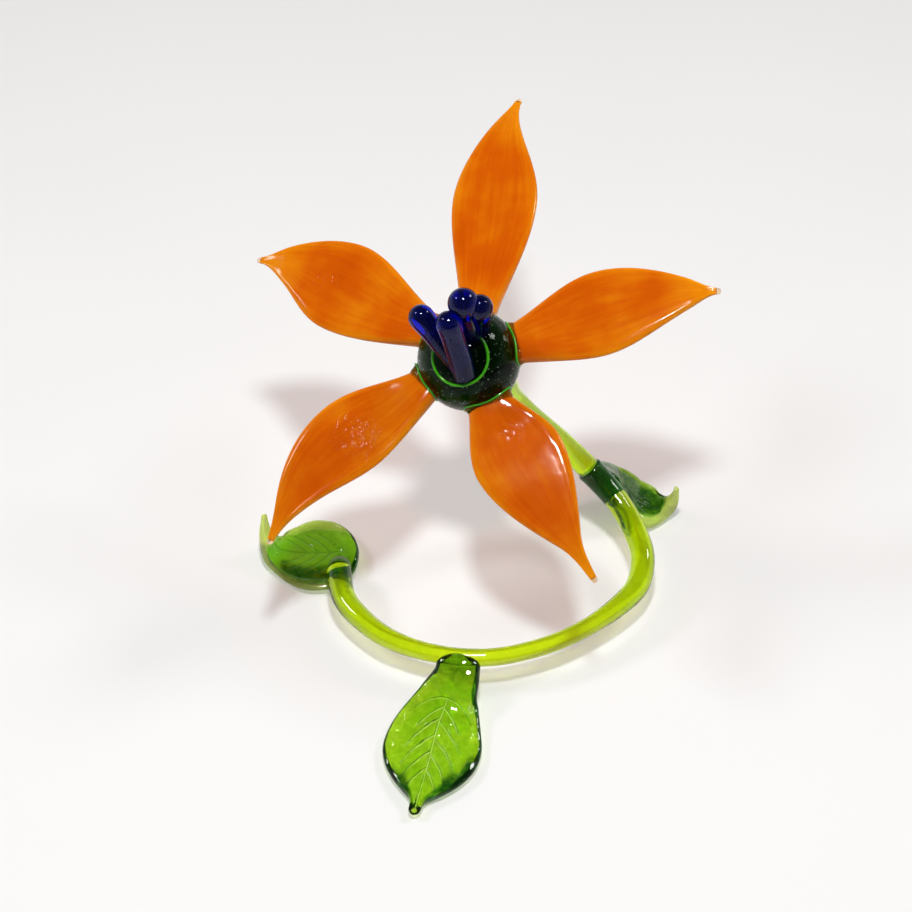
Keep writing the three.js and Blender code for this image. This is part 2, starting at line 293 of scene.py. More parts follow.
@dataclass
class Blade:
    """A pressed blade of glass along a spine, as a petal or a leaf is.

    above and below are points over the upper and the lower face of a ring, under is the exponent
    of the lower face, and press is how far a face is sunk at a place and a share across.
    """

    spine: Spine
    across: Callable[[float], Vector]
    width: Run
    thickness: Run
    tip: float
    dish: float
    base: float = 0.0
    press: Callable[[float, float, bool], float] = lambda place, share, upper: 0.0
    grow: Run = lambda place: 0.0
    start: float = 0.0
    end: float | None = None
    rings: int = 200
    base_rings: int = 10
    tip_rings: int = 8
    above: int = 40
    below: int = 36
    under: float = SQUARENESS
    blunt: float = 0.1
    full_press: float = 1.2
    traits: dict[str, Mask] = field(default_factory=dict)

    def places(self) -> list[float]:
        """Places of the rings, closer together over round ends."""
        stop = self.end if self.end is not None else self.spine.length - self.tip / 2
        low = self.base if self.base else self.start
        made = [low + (stop - low) * i / self.rings for i in range(self.rings + 1)]
        if self.base:
            count = self.base_rings
            turns = [math.pi / 2 * i / count for i in range(count)]
            made = [self.base * (1 - math.cos(turn)) for turn in turns] + made
        if self.end is None:
            made += [stop + self.tip / 2 * math.sin(turn) for turn in end_turns(self.tip_rings)]
        return made

    def section(self) -> list[Pair]:
        """Shares across and up of a ring's points, spread evenly over both faces."""
        made = []
        for count, side in ((self.above, 1), (self.below, -1)):
            for k in range(count):
                t = side * (1 - 2 * k / count)
                angle = math.pi / 2 * abs(t) ** (1 / SQUARENESS)
                up = math.cos(angle) ** (SQUARENESS if side > 0 else self.under)
                made.append((math.copysign(math.sin(angle) ** SQUARENESS, t), side * up))
        return made

    def frame_at(self, place: float) -> tuple[Vector, Vector, Vector]:
        """Middle, sideways direction and upward direction of the section at this place."""
        along = self.spine.along(place)
        across = self.across(min(place / self.spine.length, 1))
        side = (across - along * across.dot(along)).normalized()
        return self.spine.at(place), side, along.cross(side)

    def spot(self, place: float, x: float, y: float) -> Vector:
        """A point of the skin, from its shares across and up the section."""
        centre, side, out = self.frame_at(place)
        share = dome(place, self.spine.length, self.tip / 2)
        rounded = 1.0
        if self.base and place < self.base:
            rounded = max(dome(self.base - place, self.base, self.base), self.blunt)
        half = self.width(place) / 2 * share * rounded + self.grow(place)
        thick = self.thickness(place) / 2 * share * rounded**0.5 + self.grow(place)
        hollow = self.dish * (half * x * x - half / 2) / max(self.width(place) / 2, 1)
        pressed = self.press(place, x, y > 0) * min(thick / self.full_press, 1)
        up = thick * y + hollow - math.copysign(pressed, y) * abs(y) ** 0.5
        return centre + side * (half * x) + out * up

    def skin(self, name: str, place: Matrix, floor: float | None = None) -> Piece:
        """Lays the blade's skin.

        Args:
            name: the piece's name.
            place: turns millimetres into metres.
            floor: height that the underside is pressed flat on.

        Returns:
            The piece, with Marks that hold the share along and the share across.
        """
        rings, marks, section = [], [], self.section()
        traits: dict[str, list[float]] = {title: [] for title in self.traits}
        for at in self.places():
            share = at / self.spine.length
            ring = [self.spot(at, x, y) for x, y in section]
            for point in ring:
                if floor is not None:
                    point.z = max(point.z, floor)
            rings.append(ring)
            marks.append([(share, 0.5 + x / 2) for x, _ in section])
            for title, mask in self.traits.items():
                traits[title] += [mask(share, x) for x, _ in section]
        return lay(name, rings, place, marks, traits)


# Nodes


def add_node(tree: Tree, kind: str, inputs: dict | None = None, **settings: object) -> Node:
    """Adds a node with its settings, values and links.

    Args:
        tree: the tree that it goes into.
        kind: the node's type.
        inputs: a value or an output socket for each input, by name or number.
        **settings: the node's own properties.

    Returns:
        The node.
    """
    made = tree.nodes.new(kind)
    for key, value in settings.items():
        setattr(made, key, value)
    for key, value in (inputs or {}).items():
        if isinstance(value, Socket):
            tree.links.new(value, made.inputs[key])
        else:
            made.inputs[key].default_value = value
    return made


def sums(tree: Tree, kind: str, *values: Socket | float, clamp: bool = False) -> Socket:
    """Adds a Math node of this kind on these values, and gives its result."""
    given = dict(enumerate(values))
    return add_node(tree, "ShaderNodeMath", given, operation=kind, use_clamp=clamp).outputs[0]


def remap(tree: Tree, value: Socket, seen: Pair, made: Pair = (0.0, 1.0)) -> Socket:
    """Turns the seen range of a value into the made range, and gives the result."""
    given = dict(zip(("From Min", "From Max", "To Min", "To Max"), (*seen, *made)))
    return add_node(tree, "ShaderNodeMapRange", {"Value": value, **given}).outputs[0]


def wander(tree: Tree, where: Socket, size: float, detail: float = 2.0, **more: float) -> Socket:
    """Adds noise whose features are size millimetres large, and gives its value."""
    given = {"Vector": where, "Scale": 1 / (size * MM), "Detail": detail, **more}
    return add_node(tree, "ShaderNodeTexNoise", given).outputs[0]


def blend(
    tree: Tree, share: Socket | float, first: Socket | str, second: Socket | str, kind: str = "MIX"
) -> Socket:
    """Blends two colours, each a socket or a hex code.

    Args:
        tree: the tree.
        share: how much of the second colour there is.
        first: the colour at 0.
        second: the colour at 1.
        kind: the blend type.

    Returns:
        The colour.
    """
    sides = [linear(side) if isinstance(side, str) else side for side in (first, second)]
    given = {"Factor": share, 6: sides[0], 7: sides[1]}
    return add_node(tree, "ShaderNodeMix", given, data_type="RGBA", blend_type=kind).outputs[2]


def grade(tree: Tree, value: Socket, stops: Sequence[tuple[float, str]]) -> Socket:
    """Adds a colour ramp with these places and hex colours, and gives its colour."""
    ramp = add_node(tree, "ShaderNodeValToRGB", {"Fac": value})
    band = ramp.color_ramp
    for element, (place, code) in zip((band.elements[0], band.elements[1]), (stops[0], stops[-1])):
        element.position, element.color = place, linear(code)
    for place, code in stops[1:-1]:
        band.elements.new(place).color = linear(code)
    return ramp.outputs[0]


def trait(tree: Tree, name: str) -> Socket:
    """Reads one of the piece's attributes."""
    return add_node(tree, "ShaderNodeAttribute", attribute_name=name).outputs["Fac"]


def bump(tree: Tree, height: Socket, depth: float) -> Socket:
    """Turns a height into a normal, with depth in millimetres for a height of 1."""
    given = {"Height": height, "Strength": 1.0, "Distance": depth * MM}
    return add_node(tree, "ShaderNodeBump", given).outputs[0]


def new_finish(name: str) -> tuple[Finish, Tree, Socket]:
    """Starts a material.

    Args:
        name: the material's name.

    Returns:
        The material, its empty tree and the piece's own coordinates.
    """
    made = bpy.data.materials.new(name)
    made.use_nodes = True
    made.node_tree.nodes.clear()
    return made, made.node_tree, add_node(made.node_tree, "ShaderNodeTexCoord").outputs["Object"]


def finish_tree(tree: Tree, surface: Socket, cast: str, body: Socket | None = None) -> None:
    """Ends a material: light that goes through it to the floor takes the cast colour.

    Args:
        tree: the material's tree.
        surface: the shader that is seen.
        cast: colour of the light that passes it.
        body: what its volume does.
    """
    through = add_node(tree, "ShaderNodeBsdfTransparent", {"Color": linear(cast)}).outputs[0]
    shadow = add_node(tree, "ShaderNodeLightPath").outputs["Is Shadow Ray"]
    both = add_node(tree, "ShaderNodeMixShader", {0: shadow, 1: surface, 2: through})
    given = {"Surface": both.outputs[0], **({"Volume": body} if body else {})}
    add_node(tree, "ShaderNodeOutputMaterial", given)


# Geometry Nodes recipes


class Recipe:
    """A Geometry Nodes tree with named inputs, whose result is kept as a plain mesh."""

    def __init__(self, name: str, inputs: dict[str, str]) -> None:
        """Starts the tree.

        Args:
            name: what the tree makes.
            inputs: each input's name and the kind of its socket.
        """
        self.tree = bpy.data.node_groups.new(name, "GeometryNodeTree")
        sockets = self.tree.interface
        for title, kind in {"Geometry": "Geometry", **inputs, "Finish": "Material"}.items():
            sockets.new_socket(title, in_out="INPUT", socket_type=f"NodeSocket{kind}")
        sockets.new_socket("Geometry", in_out="OUTPUT", socket_type="NodeSocketGeometry")
        self.given = self.tree.nodes.new("NodeGroupInput").outputs

    def step(self, kind: str, inputs: dict | None = None, **settings: object) -> Node:
        """Adds one Geometry Nodes step."""
        return add_node(self.tree, f"GeometryNode{kind}", inputs, **settings)

    def close(self, geometry: Socket) -> None:
        """Ends the tree: smooth shading, Realize Instances and Set Material."""
        smooth = self.step("SetShadeSmooth", {"Geometry": geometry})
        real = self.step("RealizeInstances", {"Geometry": smooth.outputs[0]})
        dressed = self.step(
            "SetMaterial", {"Geometry": real.outputs[0], "Material": self.given["Finish"]}
        )
        out = self.tree.nodes.new("NodeGroupOutput")
        self.tree.links.new(dressed.outputs[0], out.inputs[0])

    def keep(self, piece: Piece, **values: object) -> Piece:
        """Runs the tree on a piece and keeps the result as its mesh.

        Args:
            piece: the object whose mesh goes in.
            **values: each input's value, with _ for a space in its name.

        Returns:
            The same object, with a plain mesh and no modifier.
        """
        modifier = piece.modifiers.new(self.tree.name, "NODES")
        modifier.node_group = self.tree
        for item in self.tree.interface.items_tree:
            key = item.name.replace(" ", "_")
            if item.item_type == "SOCKET" and item.in_out == "INPUT" and key in values:
                modifier[item.identifier] = values[key]
        bpy.context.view_layer.update()
        seen = piece.evaluated_get(bpy.context.evaluated_depsgraph_get())
        plain = bpy.data.meshes.new_from_object(seen)
        piece.modifiers.remove(modifier)
        piece.data = plain
        plain.name = piece.name
        return piece


class CaneRecipe(Recipe):
    """Draws round glass along a line whose points hold its radius."""

    def __init__(self) -> None:
        """Builds the tree."""
        super().__init__("Drawn cane", {"Line": "Object", "Sides": "Int"})
        line = self.step("ObjectInfo", {"Object": self.given["Line"]})
        sides = {"Resolution": self.given["Sides"], "Radius": 1.0}
        circle = self.step("CurvePrimitiveCircle", sides)
        lined = self.step(
            "StoreNamedAttribute",
            {
                "Geometry": circle.outputs["Curve"], "Name": ROUND,
                "Value": self.step("InputPosition").outputs[0],
            },
            data_type="FLOAT_VECTOR", domain="POINT",
        )
        mesh = self.step(
            "CurveToMesh",
            {
                "Curve": line.outputs["Geometry"], "Profile Curve": lined.outputs[0],
                "Scale": self.step("InputRadius").outputs[0], "Fill Caps": True,
            },
        )
        self.close(mesh.outputs[0])

    def draw(
        self, name: str, line: Sequence[Vector], radii: Sequence[float], place: Matrix,
        finish: Finish, closed: bool = False, sides: int = 48,
    ) -> Piece:
        """Draws one cane.

        Args:
            name: the piece's name.
            line: close points of its middle line, in millimetres.
            radii: its radius at each point, in millimetres.
            place: turns millimetres into metres.
            finish: its glass.
            closed: True for a ring.
            sides: points round the section.

        Returns:
            The piece.
        """
        data = bpy.data.curves.new(f"{name}_line", "CURVE")
        data.dimensions = "3D"
        spline = data.splines.new("POLY")
        spline.points.add(len(line) - 1)
        spline.use_cyclic_u = closed
        for point, at, radius in zip(spline.points, line, radii):
            point.co = (*(place @ at), 1)
            point.radius = radius * MM
        guide = hang_up(f"{name}_line", data)
        empty = hang_up(name, bpy.data.meshes.new(name))
        piece = self.keep(empty, Line=guide, Sides=sides, Finish=finish)
        bpy.data.objects.remove(guide)
        return piece


class PressRecipe(Recipe):
    """Presses grooves into a skin, downwards, along the edges of a mesh of veins."""

    def __init__(self) -> None:
        """Builds the tree."""
        super().__init__("Pressed veins", {"Veins": "Object", "Depth": "Float", "Width": "Float"})
        tree, depth = self.tree, self.given["Depth"]
        veins = self.step("ObjectInfo", {"Object": self.given["Veins"]})
        near = self.step(
            "Proximity", {"Geometry": veins.outputs["Geometry"]}, target_element="EDGES"
        )
        drop = remap(tree, near.outputs["Distance"], (0.0, self.given["Width"]), (depth, 0.0))
        shift = add_node(tree, "ShaderNodeCombineXYZ", {"Z": sums(tree, "MULTIPLY", drop, -1.0)})
        marked = self.step(
            "StoreNamedAttribute",
            {
                "Geometry": self.given["Geometry"], "Name": CREASE,
                "Value": sums(tree, "DIVIDE", drop, depth),
            },
            data_type="FLOAT", domain="POINT",
        )
        moved = self.step(
            "SetPosition", {"Geometry": marked.outputs[0], "Offset": shift.outputs[0]}
        )
        self.close(moved.outputs[0])


class SeedRecipe(Recipe):
    """Scatters seed bubbles just under the skin of a piece."""

    def __init__(self) -> None:
        """Builds the tree."""
        inputs = dict.fromkeys(("Density", "Smallest", "Largest", "Depth"), "Float")
        super().__init__("Seed bubbles", {**inputs, "Seed": "Int"})
        tree, given = self.tree, self.given
        points = self.step(
            "DistributePointsOnFaces",
            {"Mesh": given["Geometry"], "Density": given["Density"], "Seed": given["Seed"]},
        )
        # How deep each bubble lies, as a share of the depth, and its radius.
        deep, size = (
            add_node(
                tree, "FunctionNodeRandomValue", {2: low, 3: high, "Seed": given["Seed"]},
                data_type="FLOAT",
            ).outputs[1]
            for low, high in ((0.12, 1.0), (given["Smallest"], given["Largest"]))
        )
        back = sums(tree, "MULTIPLY", sums(tree, "MULTIPLY", deep, given["Depth"]), -1.0)
        inward = add_node(
            tree, "ShaderNodeVectorMath", {0: points.outputs["Normal"], "Scale": back},
            operation="SCALE",
        )
        sunk = self.step(
            "SetPosition", {"Geometry": points.outputs["Points"], "Offset": inward.outputs[0]}
        )
        ball = self.step("MeshIcoSphere", {"Radius": 1.0, "Subdivisions": 2})
        placed = self.step(
            "InstanceOnPoints",
            {"Points": sunk.outputs[0], "Instance": ball.outputs[0], "Scale": size},
        )
        self.close(placed.outputs[0])


# Finishes


@dataclass(frozen=True)
class ClearGlass:
    """Transparent soda-lime glass, coloured through its body.

    tint is the colour that white light has after depth millimetres of the glass, so a thick part
    is darker than a thin one. The flame leaves a faint ripple, swell deep and ripple long, which
    makes the lights in it waver, and wisps of veil where the colour is thinner. body is the share
    that scatters light like opal glass, cast the light that it lets through to the floor, and
    streak the colour of the lines that drawing leaves along a cane. The rest is for a pressed
    leaf, whose veins are painted light: line is a painted highlight down the middle of each vein,
    groove is painted shade on its flanks, and veined is how milky the painted highlight is. deep
    colours the patches of painted shade, where the leaf is painted darker as if shaded, and thin
    colours the pale ends, which are milky by milkiness.
    """

    name: str
    tint: str
    depth: float
    ior: float = 1.5
    rough: Pair = (0.01, 0.05)
    ripple: float = 5.0
    swell: float = 0.12
    smear: float = 9.0
    wisp: float = 3.0
    veil: str = WHITE
    cast: str = "808060"
    body: float = 0.0
    mottle: float = 0.25
    streak: str = WHITE
    pressed: bool = False
    # line is a painted highlight on the veins, groove is painted shade beside them, and deep is the
    # colour of the painted shade patches.
    line: str = "f6ffe0"
    groove: str = "6aa822"
    veined: float = 0.65
    deep: str = "3c8a0c"
    thin: str = "f0ff80"
    milkiness: float = 0.7

    def press_marks(self, tree: Tree, skin: Socket, wisps: Socket) -> tuple[Socket, Socket]:
        """Adds the veins as painted light, the dark patches of painted shade and the pale thin
        ends.

        Args:
            tree: the material's tree.
            skin: the glass's colour.
            wisps: noise that makes the painted shade uneven.

        Returns:
            The new colour, and how clear the glass is.
        """
        crease, pool, pale = (trait(tree, title) for title in (CREASE, PAINTED_SHADE, PALE))
        # Painted light on the veins: the line colour in each crease's middle is a painted
        # highlight, and the groove colour on its flanks is painted shade.
        veins = grade(
            tree, crease,
            (
                (0.0, WHITE), (0.3, WHITE), (0.52, self.groove), (0.6, self.groove),
                (0.74, self.line), (1.0, self.line),
            ),
        )
        # Painted shade: the dark patches are painted darker, unevenly by the wisps.
        uneven = sums(tree, "MULTIPLY_ADD", wisps, 1.1, 0.4)
        darker = blend(tree, sums(tree, "MULTIPLY", pool, uneven, clamp=True), WHITE, self.deep)
        for other in (veins, darker):
            skin = blend(tree, 1.0, skin, other, "MULTIPLY")
        skin = blend(tree, pale, skin, self.thin)
        # Where the painted highlight lies, the glass turns milky so that the highlight shows.
        clear = remap(tree, crease, (0.68, 0.86), (1.0, 1 - self.veined))
        milky = sums(tree, "MULTIPLY_ADD", pale, -self.milkiness, 1.0)
        return skin, sums(tree, "MULTIPLY", clear, milky)

    def drawn_lines(self, tree: Tree, skin: Socket) -> Socket:
        """Adds lines along a cane, which keep their place round it.

        Args:
            tree: the material's tree.
            skin: the glass's colour.

        Returns:
            The new colour.
        """
        turned = add_node(tree, "ShaderNodeAttribute", attribute_name=ROUND).outputs["Vector"]
        given = {"Vector": turned, "Scale": 1.5, "Detail": 2.0}
        lines = add_node(tree, "ShaderNodeTexNoise", given).outputs[0]
        drawn = remap(tree, lines, (0.5, 0.6))
        return blend(tree, 1.0, skin, blend(tree, drawn, WHITE, self.streak), "MULTIPLY")

    def build(self) -> Finish:
        """Builds the material."""
        made, tree, place = new_finish(self.name)
        wave = wander(tree, place, self.ripple, Roughness=0.4)
        rough = remap(tree, wander(tree, place, self.smear, 3.0), (0.35, 0.75), self.rough)
        wisps = wander(tree, place, self.wisp, 4.0, Distortion=1.5)
        denser = remap(tree, wisps, (0.35, 0.65), (0.0, self.mottle))
        skin, clarity = blend(tree, denser, self.veil, self.tint), 1 - self.body
        if self.streak != WHITE:
            skin = self.drawn_lines(tree, skin)
        if self.pressed:
            skin, clarity = self.press_marks(tree, skin, wisps)
        glass = add_node(
            tree, "ShaderNodeBsdfPrincipled",
            {
                "Base Color": skin, "Roughness": rough, "IOR": self.ior,
                "Transmission Weight": clarity, "Normal": bump(tree, wave, self.swell),
            },
        )
        darkest = 0.002
        losses = [-math.log(max(c, darkest)) / (self.depth * MM) for c in linear(self.tint)[:3]]
        most = max(losses)
        body = add_node(
            tree, "ShaderNodeVolumeAbsorption",
            {"Color": (*[1 - loss / most for loss in losses], 1.0), "Density": most},
        )
        finish_tree(tree, glass.outputs[0], self.cast, body.outputs[0])
        return made


@dataclass(frozen=True)
class OpalGlass:
    """Orange opal glass, pressed hot: nearly opaque, with streaks drawn along the petal.

    The eye gets a saturated orange body, a more yellow rim where the glass is thin and lets light
    through, and a gloss that chill wrinkles break up. cloud, wrinkle and wave are sizes in
    millimetres, depth is how deep the waves are, and wrinkled how many times deeper the wrinkles.
    """

    name: str
    deep: str
    body: str
    rim: str
    cast: str = "b07850"
    cloud: float = 14.0
    wrinkle: float = 1.6
    wave: float = 4.0
    depth: float = 0.05
    wrinkled: float = 7.0
    ior: float = 1.5
    gloss: float = 0.25
    glow: float = 0.12
    glow_depth: float = 2.5

    def colour(self, tree: Tree, cloud: Socket) -> Socket:
        """Adds the petal's colour: clouds, streaks along it, and its thin rim and tip.

        Args:
            tree: the material's tree.
            cloud: noise for the clouds.

        Returns:
            The colour.
        """
        marks = add_node(tree, "ShaderNodeUVMap", uv_map=MARKS).outputs[0]
        along, across = add_node(tree, "ShaderNodeSeparateXYZ", {0: marks}).outputs[:2]
        stretch = add_node(tree, "ShaderNodeMapping", {"Vector": marks, "Scale": (2.2, 9.0, 1.0)})
        streaks = add_node(
            tree, "ShaderNodeTexNoise",
            {
                "Vector": stretch.outputs[0], "Scale": 1.6, "Detail": 5.0, "Roughness": 0.55,
                "Distortion": 0.6,
            },
        )
        edge = sums(tree, "ABSOLUTE", sums(tree, "MULTIPLY_ADD", across, 2.0, -1.0))
        thin = sums(tree, "POWER", edge, 5.0)
        mix = sums(tree, "MULTIPLY_ADD", streaks.outputs[0], 0.4, -0.12)
        mix = sums(tree, "MULTIPLY_ADD", cloud, 0.85, mix)
        mix = sums(tree, "MULTIPLY_ADD", thin, 0.35, mix)
        mix = sums(tree, "ADD", mix, remap(tree, along, (0.72, 1.0), (0.0, 0.55)))
        return grade(tree, mix, ((0.15, self.deep), (0.5, self.body), (1.0, self.rim)))

    def build(self) -> Finish:
        """Builds the material."""
        made, tree, place = new_finish(self.name)
        cloud = wander(tree, place, self.cloud, 3.0, Roughness=0.5)
        wrinkles = wander(tree, place, self.wrinkle, Distortion=1.0)
        marks = sums(tree, "MULTIPLY", trait(tree, CHILL), wrinkles)
        fine = wander(tree, place, self.wave)
        height = sums(tree, "MULTIPLY_ADD", marks, self.wrinkled, fine)
        opal = add_node(
            tree, "ShaderNodeBsdfPrincipled",
            {
                "Base Color": self.colour(tree, cloud), "IOR": self.ior,
                "Roughness": remap(tree, cloud, (0.3, 0.7), (0.07, 0.16)),
                "Normal": bump(tree, height, self.depth), "Specular IOR Level": self.gloss,
                "Subsurface Weight": self.glow, "Subsurface Radius": (1.0, 0.35, 0.05),
                "Subsurface Scale": self.glow_depth * MM,
            },
        )
        finish_tree(tree, opal.outputs[0], self.cast)
        return made


@dataclass(frozen=True)
class PaintedBubbleGlint:
    """Inner skin of a seed bubble, painted grey-white as a painted reflection: the glint that makes
    a bubble show as a grey-white speck in dark glass.
    """

    name: str = "Trapped air bubbles"
    speck: float = 0.6
    dim_glint: str = "c8cec6"

    def build(self) -> Finish:
        """Builds the material."""
        made, tree, place = new_finish(self.name)
        colour = grade(tree, wander(tree, place, self.speck), ((0.0, self.dim_glint), (1.0, WHITE)))
        skin = add_node(tree, "ShaderNodeBsdfPrincipled", {"Base Color": colour, "Roughness": 0.25})
        add_node(tree, "ShaderNodeOutputMaterial", {"Surface": skin.outputs[0]})
        return made


# Each tint is what a strip of that glass looks like against white paper.
EMERALD = ClearGlass(
    "Emerald glass", "268a1c", 5.5, ior=1.21, rough=(0.005, 0.02), swell=0.04, cast="505a40"
)
# Also makes the painted gleam rings at the petals' roots.
RIM_GREEN = ClearGlass("Bright green glass", "5cdc1c", 3.0, veil="54d41c", body=0.45)
COBALT = ClearGlass(
    "Cobalt glass", "1c30e0", 7.0, ior=1.32, rough=(0.005, 0.02), swell=0.05, veil="2a3cd8",
    cast="3c3c90", body=0.04,
)
LIME = ClearGlass(
    "Lime green glass rod", "cce80a", 6.0, veil="f8ffa8", cast="896c10", streak="d4d478"
)
LEAF_GREEN = ClearGlass(
    "Pressed light green glass", "a2d20c", 6.0, veil="f0fc90", cast="959927", mottle=0.6,
    pressed=True, deep="2c7a08",
)
LEAF_DARK = ClearGlass(
    "Pressed mid green glass", "80c414", 6.0, ior=1.42, veil="e8fa9c", cast="959927", pressed=True,
    line="b0d470", groove="b0d080", veined=0.0, deep="1f6a08",
)
WELD_GREEN = ClearGlass(
    "Welded dark green glass", "2c8a18", 6.5, ior=1.4, veil="50b02c", body=0.1
)
NECK_GREEN = ClearGlass("Drawn mid green glass", "58a818", 8.0, ior=1.22, veil="74b82c", body=0.35)
AMBER = ClearGlass("Clear amber glass", "ffc888", 3.0)
ORANGE_OPAL = OpalGlass("Orange opal glass", "bc4200", "d05900", "ec9008")


# The flower's pieces


@dataclass
class Frames:
    """Where the ground frame and the bloom frame are in the CAD frame."""

    ball_height: float = 61.0
    flower_tilt: float = 24.2
    flower_facing: float = -115.3
    ball: Vector = field(default_factory=Vector)
    ground: Matrix = field(default_factory=Matrix)
    bloom: Matrix = field(default_factory=Matrix)

    def __post_init__(self) -> None:
        """Reads the ball's centre from the frame and sets both frames by it."""
        low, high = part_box("flower_centre")
        self.ball = (Vector(low) + Vector(high)) / 2
        size = Matrix.Scale(MM, 4)
        self.ground = Matrix.Translation(self.ball - Vector((0, 0, self.ball_height * MM))) @ size
        axis = direction(self.flower_tilt, self.flower_facing)
        side = Vector((0, 1, 0)).cross(axis).normalized()
        turn = Matrix((side, axis.cross(side), axis)).transposed().to_4x4()
        self.bloom = Matrix.Translation(self.ball) @ turn @ size


def settle(piece: Piece, slot: Slot, finish: Finish | None, *nodes: str) -> None:
    """Gives a piece its finish and its body, hides the CAD nodes it stands for, and logs its slot.

    Args:
        piece: the finished piece.
        slot: the record's material slot.
        finish: its material, or None where a recipe has set it.
        *nodes: CAD nodes that it replaces.
    """
    if finish is not None:
        piece.data.materials.clear()
        piece.data.materials.append(finish)
    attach(piece, "root")
    if nodes:
        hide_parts(*nodes)
    log.info("%s: %d faces, slot %s", piece.name, len(piece.data.polygons), slot.value)


@dataclass
class Bench:
    """The frames and the recipes that every piece is made with."""

    places: Frames = field(default_factory=Frames)
    cane: CaneRecipe = field(default_factory=CaneRecipe)
    press: PressRecipe = field(default_factory=PressRecipe)

    def pull(
        self, name: str, slot: Slot, finish: Finish, line: Sequence[Vector],
        radii: Sequence[float], place: Matrix, *nodes: str, **shape: bool | int,
    ) -> None:
        """Draws a cane and settles it.

        Args:
            name: the piece's name.
            slot: the record's material slot.
            finish: its glass.
            line: close points of its middle line, in millimetres.
            radii: its radius at each point, in millimetres.
            place: turns millimetres into metres.
            *nodes: CAD nodes that it replaces.
            **shape: closed and sides, as the cane's recipe takes them.
        """
        settle(self.cane.draw(name, line, radii, place, finish, **shape), slot, None, *nodes)


@dataclass
class Centre:
    """Dark green ball with seed bubbles, and the bright rim round the stamens' feet.

    seed_density is the number of bubbles to a square metre of the ball's skin.
    """

    diameter: float = 24.6
    ring_radius: float = 6.6
    ring_width: float = 0.7
    ring_lean: Triple = (-0.2, -0.66, 0.72)
    ball_rings: int = 96
    ball_sides: int = 128
    seed_density: float = 2.6e5
    seed_sizes: Pair = (0.06, 0.15)
    seed_depth: float = 0.35

    def build(self, bench: Bench, glass: Finish, rim: Finish, air: Finish) -> None:
        """Builds and dresses the ball, its bubbles and the rim.

        Args:
            bench: the frames and the recipes.
            glass: the ball's glass.
            rim: the brighter glass of the rim.
            air: the bubbles' skin, painted grey-white as a painted reflection.
        """
        radius, sides = self.diameter / 2, self.ball_sides
        polars = [180 - 180 * i / self.ball_rings for i in range(1, self.ball_rings)]
        rings = [
            [direction(polar, 360 * k / sides) * radius for k in range(sides)] for polar in polars
        ]
        ball = lay("flower_ball", rings, bench.places.bloom)
        settle(ball, Slot.CENTRE, glass, "flower_centre")
        seeds = hang_up("ball_seed_bubbles", ball.data.copy())
        smallest, largest = (size * MM for size in self.seed_sizes)
        SeedRecipe().keep(
            seeds, Density=self.seed_density, Smallest=smallest, Largest=largest,
            Depth=self.seed_depth * MM, Seed=7, Finish=air,
        )
        settle(seeds, Slot.CENTRE, None)
        self.lay_rim(bench, rim)

    def lay_rim(self, bench: Bench, glass: Finish) -> None:
        """Lays the bright rim on the ball, half sunk into it."""
        radius, count = self.diameter / 2, 96
        lean = Vector(self.ring_lean).normalized()
        side = lean.orthogonal().normalized()
        other = lean.cross(side)
        lift = math.sqrt(radius**2 - self.ring_radius**2)
        line = [
            lean * lift + (side * math.cos(a) + other * math.sin(a)) * self.ring_radius
            for a in (math.tau * k / count for k in range(count))
        ]
        level = Matrix.Translation(bench.places.ball) @ Matrix.Scale(MM, 4)
        radii = [self.ring_width / 2] * count
        bench.pull(
            "stamen_seat_rim", Slot.CENTRE, glass, line, radii, level, closed=True, sides=20
        )


